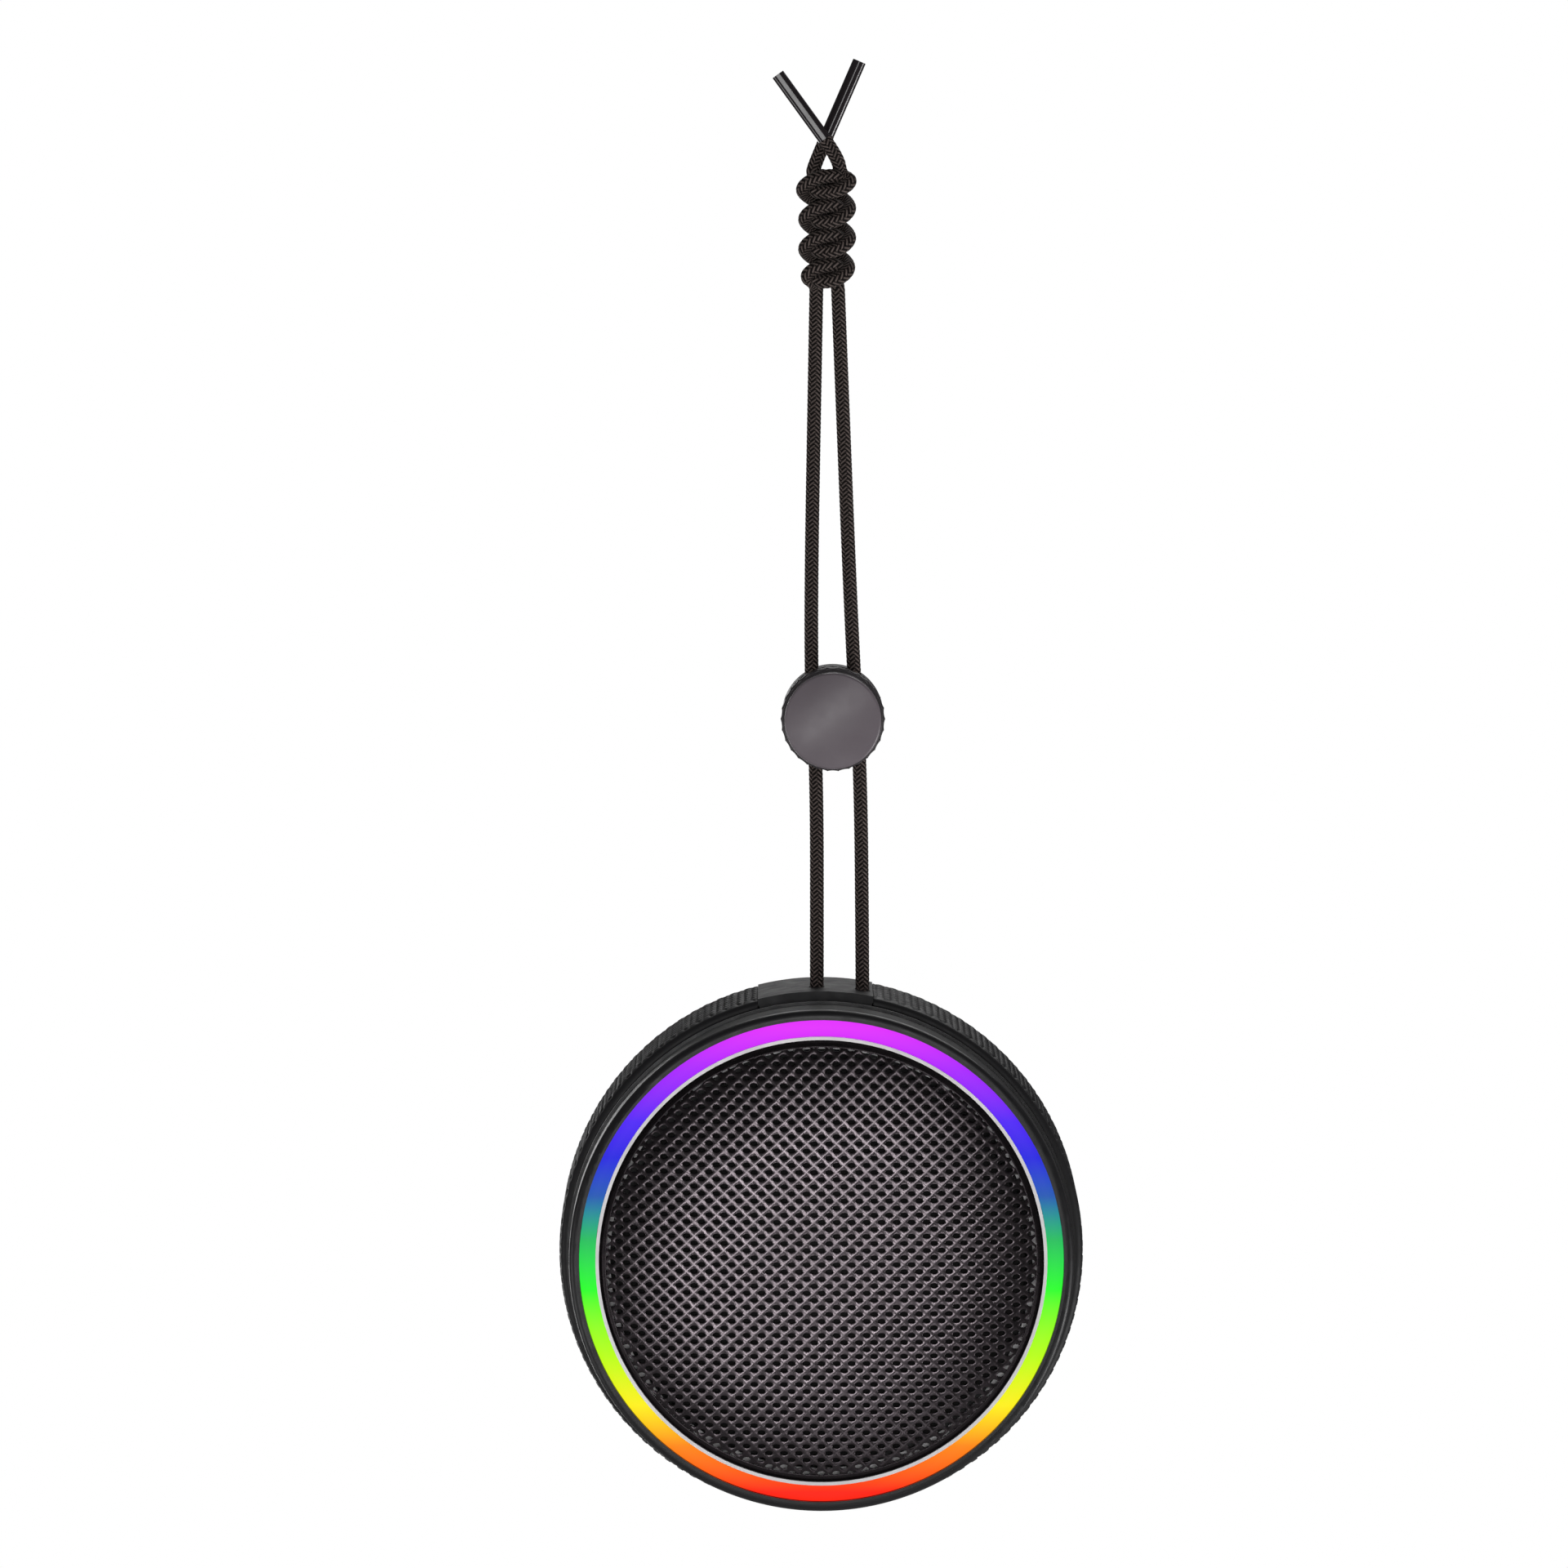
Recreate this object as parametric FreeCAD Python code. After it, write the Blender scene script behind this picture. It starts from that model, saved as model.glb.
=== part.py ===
"""Shower speaker: a round battery speaker hung from a doubled cord with a sliding lock.

Millimetres. +Z is up, the grille faces -Y. The origin is the crotch of the cord loop,
just under the lowest knot. The speaker is drawn about its own axis, which runs along Y,
and is moved down to hang from the cord when it is saved.
"""
import FreeCAD, Part
import math
import os

Vec = FreeCAD.Vector
AXIS_X, AXIS_Y, AXIS_Z = Vec(1, 0, 0), Vec(0, 1, 0), Vec(0, 0, 1)

# ---- speaker shell: radii about its axis, and depths along Y ----
TREAD_R = 43.0
BEZEL_STEP = 1.8
BEZEL_R = TREAD_R - BEZEL_STEP
TREAD_THICK = 2.1
WALL = 2.0
FRONT_Y = -20.0
JOINT_Y = -11.0
TREAD_FRONT_Y = -8.0
TREAD_REAR_Y = 15.0
REAR_Y = 20.0
TREAD_FIT = 0.05
HOUSING_R = TREAD_R - TREAD_THICK
HOUSING_IN_R = HOUSING_R - WALL
RIDGE_H = 0.5
RIDGE_W = 0.8
BEZEL_LIP = 0.3
COVER_PLATE = 2.0
COVER_STEP = 0.8
COVER_ROUND = 3.4
COVER_EDGE_R = TREAD_R - COVER_STEP
COVER_FACE_R = COVER_EDGE_R - COVER_ROUND
COVER_IN_Y = REAR_Y - COVER_PLATE
SPIGOT_H = 1.6
SPIGOT_W = 1.6
SPIGOT_CLEAR = 0.1

# ---- light ring, trim ring and grille ----
BEZEL_RIM = 1.7
LIGHT_W = 2.6
LIGHT_OUT_R = BEZEL_R - BEZEL_RIM
LIGHT_IN_R = LIGHT_OUT_R - LIGHT_W
LIGHT_CLEAR = 0.05
LIGHT_CROWN = 0.5
LIGHT_DEPTH = 4.2
TRIM_W = 0.55
TRIM_PROUD = 0.25
GRILLE_R = LIGHT_IN_R - LIGHT_CLEAR - TRIM_W - 0.05
GRILLE_THICK = 0.8
GRILLE_RISE = 5.0
GRILLE_EDGE_Y = FRONT_Y + 0.4
GRILLE_SKIRT = 3.0
CLOTH_THICK = 0.3
SHELF_W = 1.8
SHELF_H = 0.8
BAFFLE_Y = -13.0
LED_BOARD_THICK = 1.2
LED_BOARD_IN_R = LIGHT_IN_R - 4.3
LED_BOARD_CLEAR = 0.15
LED_COUNT = 24
LED_SIZE = 1.5
LED_TALL = 0.9
LIGHT_SEAT_W = 0.7

# ---- long screws through the rear cover, housing and bezel ----
SCREW_R = 1.0
SCREW_HEAD_R = 2.0
SCREW_HEAD_H = 1.4
SCREW_HOLE_R = 1.25
PILOT_CLEAR = 0.03
BOSS_R = 3.2
SCREW_PITCH_R = HOUSING_IN_R - BOSS_R - 0.1
BEZEL_BOSS = 5.0
SCREW_ANGLES = (45, 135, 225, 315)
HEAD_SINK = 1.7
FOOT_W = 5.0
FOOT_IN_R = SCREW_PITCH_R - 2.4
FOOT_OUT_R = FOOT_IN_R + FOOT_W
FOOT_PROUD = 1.2
SEAL_W = 1.1
SEAL_H = 0.85

# ---- driver ----
DRIVER_R = 32.0
DRIVER_OPEN_R = 26.6
BAFFLE_BORE_R = 27.3
GASKET_THICK = 0.6
FLANGE_THICK = 1.4
FRAME_BACK_Y = -3.0
FRAME_NECK_R = 16.8
FRAME_SHEET = 1.0
SPIDER_SEAT_R = 14.0
SPIDER_Y = -5.6
SPIDER_THICK = 0.4
POLE_R = 6.0
GAP_OUT_R = 7.0
TOP_PLATE_R = 15.0
TOP_PLATE_THICK = 2.2
MAGNET_R = 18.0
MAGNET_IN_R = 9.0
MAGNET_THICK = 4.0
YOKE_THICK = 2.0
YOKE_R = 15.5
FORMER_IN_R = 6.25
FORMER_R = 6.5
COIL_R = 6.75
GLUE = 0.03
CONE_R = 21.6
CONE_THICK = 0.5
CONE_NECK_Y = -8.7
DUST_CAP_R = 8.6
DUST_CAP_RISE = 2.6
DRIVER_SCREW_PITCH_R = 29.6

# ---- battery, boards and buttons ----
BATTERY_W, BATTERY_T, BATTERY_H = 36.0, 5.2, 40.0
BATTERY_PAD_T = 0.6
BOARD_R = 31.5
BOARD_Y = 12.2
BOARD_T = 1.4
BOARD_REAR_Y = BOARD_Y + BOARD_T
POST_PITCH_R = 28.0
POST_R = 2.2
BOARD_SCREW_R = 0.78
SWITCH_SIDE = 6.0
SWITCH_BODY = 1.9
SWITCH_TOP = 0.5
SWITCH_TIP_R = 1.6
BUTTON_TRAVEL = 0.5
BUTTON_CLEAR = 0.12
BUTTON_PROUD = 0.6
BUTTON_FLANGE = 0.9
BUTTON_FLANGE_T = 0.6
BUTTONS = {  # name: radius, distance from the axis, angle seen from the front
    "play_button": (6.0, 0.0, 0),
    "volume_up_button": (4.0, 17.0, 180),
    "volume_down_button": (4.0, 17.0, 0),
    "power_button": (4.0, 17.0, 120),
    "light_button": (4.0, 17.0, 60),
}
PORT_Z = -22.5
PORT_W, PORT_H = 8.9, 3.2
PORT_CLEAR = 0.25
SOCKET_WALL = 0.35
FLAP_W, FLAP_H, FLAP_T = 15.0, 7.4, 1.0
FLAP_CLEAR = 0.3
FLAP_PLUG_T = 0.5

# ---- cord, its fixing in the top of the shell, and the cord lock ----
CORD_R = 1.1
CORD_LEFT_X = -0.7     # from the middle of the speaker
CORD_RIGHT_X = 6.8
CORD_HOLE_CLEAR = 0.25
SWING_ABOVE = 1.4
PAD_LEFT_RIM = 8.35
PAD_RIGHT_RIM = 0.35
PAD_LEFT_X = CORD_LEFT_X - CORD_R - CORD_HOLE_CLEAR - PAD_LEFT_RIM
PAD_RIGHT_X = CORD_RIGHT_X + CORD_R + CORD_HOLE_CLEAR + PAD_RIGHT_RIM
TURN_CLEAR = 0.05
TURN_Z = HOUSING_IN_R - 3.9
TURN_PIN_LONG = 12.0
PIN_FIT = 0.04
LUG_T = 1.6

LOCK_X = 0.95          # from the origin
LOCK_Z = -70.5
LOCK_R = 8.35
LOCK_FRONT_Y = -4.6
LOCK_REAR_Y = 6.6
LOCK_TRAVEL = 1.8
LOCK_WALL = 1.0
LOCK_BORE_R = LOCK_R - LOCK_WALL
LOCK_FIT = 0.08
TUNNEL_HALF_W = LOCK_BORE_R - 1.0
TUNNEL_CLEAR = 0.15
CAP_STEP = 0.45
CAP_R = LOCK_R - CAP_STEP
CAP_EDGE = 1.5
CAP_CROWN = 1.3
SPRING_WIRE_R = 0.3
SPRING_R = 4.2
SPRING_TURNS = 3

KNOT_COUNT = 4
KNOT_PITCH = 4.85
KNOT_W = 8.8
KNOT_DEEP = 6.4
KNOT_ROUND = 2.1
TIP_LONG = 13.0
TIP_HOLLOW = 2.5
TIP_WALL = 0.3
TIP_R = 1.1

# The cord's routes from the origin. The strands are pulled straight by the speaker.
FOOT_Z = -113.5
STRAND_LEFT = [(-1.65, 0, FOOT_Z), (-1.65, 0, -78.8), (-2.85, 0, -62.1), (-1.75, 0, 0.6)]
STRAND_RIGHT = [(5.85, 0, FOOT_Z), (5.55, 0, -78.8), (4.25, 0, -62.1), (1.75, 0, 0.6)]
END_FROM_RIGHT = [(2.2, -0.9, 18.3), (1.8, -1.35, 21.2), (-0.45, -1.35, 24.3)]
END_FROM_LEFT = [(-2.5, 0.9, 18.3), (-1.9, 1.35, 20.4), (0.1, 1.35, 25.0)]

# ---- the middle of the speaker: it hangs from the feet of the strands ----
HOLE_Y = -0.4          # of the cord holes in the shell, above its centre of mass
HANG_TOP = TREAD_R + SWING_ABOVE
MIDDLE = Vec(STRAND_LEFT[0][0] - CORD_LEFT_X, -HOLE_Y, FOOT_Z - HANG_TOP)

# ---- angles about the speaker's axis ----
LED_WIRE_ANGLE = 338
LED_WIRE_R = LED_BOARD_IN_R + 1.6
DRIVER_SCREW_ANGLES = (0, 90, 180, 270)
POST_ANGLES = (0, 90, 180, 270)


# ---- helpers ----
def disc(r, y0, y1, x=0.0, z=0.0):
    """A round bar along Y."""
    return Part.makeCylinder(r, y1 - y0, Vec(x, y0, z), AXIS_Y)


def ring(r_out, r_in, y0, y1, x=0.0, z=0.0):
    return disc(r_out, y0, y1, x, z).cut(disc(r_in, y0 - 1, y1 + 1, x, z))


def block(x0, x1, y0, y1, z0, z1):
    return Part.makeBox(x1 - x0, y1 - y0, z1 - z0, Vec(x0, y0, z0))


def turned(*points):
    """Turn a closed outline of (radius, y) points about Y. A pair of points is an arc."""
    edges = []
    last = Vec(*points[0], 0)
    for item in points[1:] + (points[0],):
        if isinstance(item[0], tuple):
            middle, end = Vec(*item[0], 0), Vec(*item[1], 0)
            edges.append(Part.Arc(last, middle, end).toShape())
        else:
            end = Vec(*item, 0)
            if end.isEqual(last, 1e-9):
                continue
            edges.append(Part.LineSegment(last, end).toShape())
        last = end
    face = Part.Face(Part.Wire(edges))
    return face.revolve(Vec(0, 0, 0), AXIS_Y, 360)


def around(r, degrees):
    """X and Z at a radius and an angle about the speaker's axis."""
    return r * math.cos(math.radians(degrees)), r * math.sin(math.radians(degrees))


def slot_block(half_w, half_h, y0, y1, z=0.0):
    """A bar along Y whose section has round ends, longest along X."""
    core = block(-(half_w - half_h), half_w - half_h, y0, y1, z - half_h, z + half_h)
    ends = [disc(half_h, y0, y1, s * (half_w - half_h), z) for s in (-1, 1)]
    return core.multiFuse(ends).removeSplitter()


def dome(r, edge_y, rise, thick):
    """A spherical shell bulging to -Y, of outer radius r at its edge."""
    ball_r = (r * r + rise * rise) / (2 * rise)
    centre = Vec(0, edge_y - rise + ball_r, 0)
    shell = Part.makeSphere(ball_r, centre).cut(Part.makeSphere(ball_r - thick, centre))
    return shell.common(disc(r, edge_y - rise - 1, edge_y))


def tube_path(points, bend_share=0.45):
    """Straight runs joined by tangent arcs. Returns the wire and the arcs' radii."""
    pts = [Vec(*p) for p in points]
    edges, radii, here = [], [], pts[0]
    for before, corner, after in zip(pts, pts[1:], pts[2:]):
        run_in, run_out = corner - before, after - corner
        turn = run_in.getAngle(run_out)
        reach = bend_share * min(run_in.Length, run_out.Length)
        radii.append(reach / math.tan(turn / 2))
        into = Vec(run_in).normalize()
        out = Vec(run_out).normalize()
        start, end = corner - into * reach, corner + out * reach
        to_centre = Vec(out - into).normalize()
        middle = corner + to_centre * (radii[-1] / math.cos(turn / 2) - radii[-1])
        edges.append(Part.LineSegment(here, start).toShape())
        edges.append(Part.Arc(start, middle, end).toShape())
        here = end
    edges.append(Part.LineSegment(here, pts[-1]).toShape())
    return Part.Wire(edges), radii


def tube(points, r, name):
    wire, radii = tube_path(points)
    first = Vec(*points[1]) - Vec(*points[0])
    section = Part.Wire(Part.makeCircle(r, Vec(*points[0]), first))
    solid = wire.makePipeShell([section], True, False)
    expected = math.pi * r * r * wire.Length
    shown = ", ".join(f"{v:.1f}" for v in radii)
    print(f"{name}: length {wire.Length:.1f}, arc radii {shown}, "
          f"volume {solid.Volume / expected:.4f} of section x length")
    return solid


def save(node, *shapes, at=MIDDLE):
    """Write one node. Shapes are given about the middle of the speaker, or the origin."""
    solids = [s for shape in shapes for s in shape.Solids]
    for s in solids:
        if not s.isValid():
            print("NOT VALID", node)
    moved = [s.translated(at) for s in solids]
    shape = moved[0] if len(moved) == 1 else Part.makeCompound(moved)
    shape.exportStep(f"parts/{node}.step")


# ---- shell ----
def cord_holes(r):
    """Both holes that the cord goes into, down from above."""
    down = Vec(0, 0, -1)
    top = TREAD_R + 2
    deep = top - TURN_Z
    return [Part.makeCylinder(r, deep, Vec(x, HOLE_Y, top), down) for x in (CORD_LEFT_X, CORD_RIGHT_X)]


def screw_bores(r, y0, y1):
    return [disc(r, y0, y1, *around(SCREW_PITCH_R, a)) for a in SCREW_ANGLES]


def front_bezel():
    seat_y = FRONT_Y + LIGHT_DEPTH
    inner = LIGHT_OUT_R + LIGHT_CLEAR
    body = turned(
        (inner, FRONT_Y - BEZEL_LIP), (BEZEL_R - 1.2, FRONT_Y - BEZEL_LIP),
        ((BEZEL_R - 0.35, FRONT_Y - BEZEL_LIP + 0.35), (BEZEL_R, FRONT_Y - BEZEL_LIP + 1.2)),
        (BEZEL_R, JOINT_Y - RIDGE_W), (BEZEL_R + RIDGE_H, JOINT_Y - RIDGE_W),
        (BEZEL_R + RIDGE_H, JOINT_Y), (BAFFLE_BORE_R, JOINT_Y), (BAFFLE_BORE_R, BAFFLE_Y),
        (inner - LIGHT_SEAT_W, BAFFLE_Y), (inner - LIGHT_SEAT_W, seat_y), (inner, seat_y))
    posts = [disc(BOSS_R, JOINT_Y, JOINT_Y + BEZEL_BOSS, *around(SCREW_PITCH_R, a)) for a in SCREW_ANGLES]
    body = body.multiFuse(posts)
    body = body.cut(screw_bores(SCREW_R + PILOT_CLEAR, JOINT_Y - 1.2, JOINT_Y + BEZEL_BOSS + 1))
    wire_hole = disc(1.5, BAFFLE_Y - 1, JOINT_Y + 1, *around(LED_WIRE_R, LED_WIRE_ANGLE))
    driver_pilots = [disc(SCREW_R - 0.25 + PILOT_CLEAR, BAFFLE_Y - 1, JOINT_Y + 1,
                          *around(DRIVER_SCREW_PITCH_R, a)) for a in DRIVER_SCREW_ANGLES]
    save("front_bezel", body.cut([wire_hole] + driver_pilots).removeSplitter())


def main_housing():
    body = ring(HOUSING_R, HOUSING_IN_R, JOINT_Y, TREAD_REAR_Y)
    boss_front = JOINT_Y + BEZEL_BOSS
    boss_rear = TREAD_REAR_Y - 0.2
    bosses = [disc(BOSS_R + 0.3, boss_front, boss_rear, *around(SCREW_PITCH_R, a)) for a in SCREW_ANGLES]
    lug_half = TURN_PIN_LONG / 2
    turn_x = (CORD_LEFT_X + CORD_RIGHT_X) / 2
    lug_r = turn_pin_r() + 1.4
    top = HOUSING_IN_R + 1
    lugs = []
    for y0 in (HOLE_Y - lug_half, HOLE_Y + lug_half - LUG_T):
        post = block(turn_x - lug_r, turn_x + lug_r, y0, y0 + LUG_T, TURN_Z, top)
        lugs += [post, disc(lug_r, y0, y0 + LUG_T, turn_x, TURN_Z)]
    outside = disc(HOUSING_R, JOINT_Y, TREAD_REAR_Y)
    body = body.multiFuse(bosses + lugs).common(outside)
    groove_mid = (HOUSING_R + HOUSING_IN_R) / 2
    groove = ring(groove_mid + SEAL_W / 2, groove_mid - SEAL_W / 2, JOINT_Y - 1, JOINT_Y + SEAL_H)
    pin_hole = disc(turn_pin_r() + PIN_FIT, HOLE_Y - lug_half - 1, HOLE_Y + lug_half + 1, turn_x, TURN_Z)
    cuts = screw_bores(SCREW_HOLE_R, JOINT_Y, REAR_Y) + cord_holes(CORD_R + CORD_HOLE_CLEAR)
    body = body.cut(cuts + [groove, pin_hole]).removeSplitter()
    save("main_housing", body)
    save("front_seal", ring(groove_mid + SEAL_W / 2, groove_mid - SEAL_W / 2, JOINT_Y, JOINT_Y + SEAL_H))
    save("cord_pin", disc(turn_pin_r(), HOLE_Y - lug_half, HOLE_Y + lug_half, turn_x, TURN_Z))


def turn_pin_r():
    """The cord's hidden turn goes round a pin that fills it."""
    return (CORD_RIGHT_X - CORD_LEFT_X) / 2 - CORD_R - TURN_CLEAR


def tread_and_pad():
    band = ring(TREAD_R, HOUSING_R + TREAD_FIT, TREAD_FRONT_Y, TREAD_REAR_Y)
    wedge = block(PAD_LEFT_X, PAD_RIGHT_X, TREAD_FRONT_Y, TREAD_REAR_Y, 0, TREAD_R + 1)
    save("tread_band", band.cut(wedge))
    pad = band.common(wedge).cut(cord_holes(CORD_R + CORD_HOLE_CLEAR))
    save("top_pad", pad)


def rear_cover():
    spigot_r = HOUSING_IN_R - SPIGOT_CLEAR
    spigot_y = TREAD_REAR_Y - SPIGOT_H
    bulge = ((COVER_EDGE_R + COVER_FACE_R) / 2 + 0.9, (TREAD_REAR_Y + REAR_Y) / 2 + 0.9)
    body = turned(
        (0, COVER_IN_Y), (spigot_r - SPIGOT_W, COVER_IN_Y), (spigot_r - SPIGOT_W, spigot_y),
        (spigot_r, spigot_y), (spigot_r, TREAD_REAR_Y), (COVER_EDGE_R, TREAD_REAR_Y),
        (bulge, (COVER_FACE_R, REAR_Y)), (0, REAR_Y))
    boss_r = BOSS_R + 0.3 + SPIGOT_CLEAR
    body = body.cut([disc(boss_r, spigot_y - 1, TREAD_REAR_Y - 0.2, *around(SCREW_PITCH_R, a))
                     for a in SCREW_ANGLES])
    pillars = [disc(BOSS_R, TREAD_REAR_Y - 0.2, COVER_IN_Y, *around(SCREW_PITCH_R, a)) for a in SCREW_ANGLES]
    posts = [disc(POST_R, BOARD_REAR_Y, COVER_IN_Y, *around(POST_PITCH_R, a)) for a in POST_ANGLES]
    body = body.multiFuse(pillars + posts)
    cuts = screw_bores(SCREW_HOLE_R, TREAD_REAR_Y - 1, REAR_Y + 1)
    cuts += screw_bores(SCREW_HEAD_R + 0.2, REAR_Y - HEAD_SINK, REAR_Y + 1)
    cuts += [disc(BOARD_SCREW_R + PILOT_CLEAR, BOARD_REAR_Y - 1, COVER_IN_Y + 0.4,
                  *around(POST_PITCH_R, a)) for a in POST_ANGLES]
    cuts += [disc(r + BUTTON_CLEAR, COVER_IN_Y - 1, REAR_Y + 1, *around(away, angle))
             for r, away, angle in BUTTONS.values()]
    half_w = PORT_W / 2 + PORT_CLEAR
    half_h = PORT_H / 2 + PORT_CLEAR
    cuts.append(slot_block(half_w, half_h, COVER_IN_Y - 1, REAR_Y + 1, PORT_Z))
    cuts.append(block(-FLAP_W / 2 - FLAP_CLEAR, FLAP_W / 2 + FLAP_CLEAR, REAR_Y - FLAP_T - 0.1, REAR_Y + 1,
                      PORT_Z - FLAP_H / 2 - FLAP_CLEAR, PORT_Z + FLAP_H / 2 + FLAP_T / 2 + FLAP_CLEAR))
    save("rear_cover", body.cut(cuts).removeSplitter())
    save("foot_ring", ring(FOOT_OUT_R, FOOT_IN_R, REAR_Y, REAR_Y + FOOT_PROUD))
    screws = []
    for a in SCREW_ANGLES:
        x, z = around(SCREW_PITCH_R, a)
        head_y = REAR_Y - HEAD_SINK
        head = disc(SCREW_HEAD_R, head_y, head_y + SCREW_HEAD_H, x, z)
        drive = disc(0.8, head_y + 0.5, REAR_Y, x, z)
        shank = disc(SCREW_R, JOINT_Y, head_y, x, z)
        screws.append(head.cut(drive).fuse(shank).removeSplitter())
    save("housing_screws", *screws)


# ---- front ----
def light_and_grille():
    seat_y = FRONT_Y + LIGHT_DEPTH
    mid_r = (LIGHT_OUT_R + LIGHT_IN_R) / 2
    save("light_ring", turned(
        (LIGHT_IN_R, FRONT_Y + LIGHT_CROWN),
        ((mid_r, FRONT_Y), (LIGHT_OUT_R, FRONT_Y + LIGHT_CROWN)),
        (LIGHT_OUT_R, seat_y), (LIGHT_IN_R, seat_y)))
    trim_out = LIGHT_IN_R - LIGHT_CLEAR
    trim_in = trim_out - TRIM_W
    board_front = BAFFLE_Y - LED_BOARD_THICK
    shelf_front = GRILLE_EDGE_Y + GRILLE_SKIRT
    save("grille_trim_ring", turned(
        (trim_in, FRONT_Y - TRIM_PROUD), (trim_out, FRONT_Y - TRIM_PROUD), (trim_out, board_front),
        (trim_in, board_front), (trim_in, shelf_front + SHELF_H), (trim_in - SHELF_W, shelf_front + SHELF_H),
        (trim_in - SHELF_W, shelf_front), (trim_in, shelf_front)))
    skirt = ring(GRILLE_R, GRILLE_R - GRILLE_THICK, GRILLE_EDGE_Y, shelf_front)
    save("front_grille", dome(GRILLE_R, GRILLE_EDGE_Y, GRILLE_RISE, GRILLE_THICK).fuse(skirt).removeSplitter())
    ball_r = (GRILLE_R ** 2 + GRILLE_RISE ** 2) / (2 * GRILLE_RISE)
    centre = Vec(0, GRILLE_EDGE_Y - GRILLE_RISE + ball_r, 0)
    inner = Part.makeSphere(ball_r - GRILLE_THICK, centre)
    cloth = inner.cut(Part.makeSphere(ball_r - GRILLE_THICK - CLOTH_THICK, centre))
    save("grille_cloth", cloth.common(disc(GRILLE_R - GRILLE_THICK, GRILLE_EDGE_Y - GRILLE_RISE, GRILLE_EDGE_Y)))


def led_board():
    out_r = LIGHT_OUT_R + LIGHT_CLEAR - LIGHT_SEAT_W - LED_BOARD_CLEAR
    face_y = BAFFLE_Y - LED_BOARD_THICK
    save("led_board", ring(out_r, LED_BOARD_IN_R, face_y, BAFFLE_Y))
    led_r = (LIGHT_IN_R + out_r) / 2 + 0.05
    leds = []
    for i in range(LED_COUNT):
        half = LED_SIZE / 2
        led = block(led_r - half, led_r + half, face_y - LED_TALL, face_y, -half, half)
        leds.append(led.rotated(Vec(0, 0, 0), AXIS_Y, 360.0 * i / LED_COUNT))
    save("leds", *leds)


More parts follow.
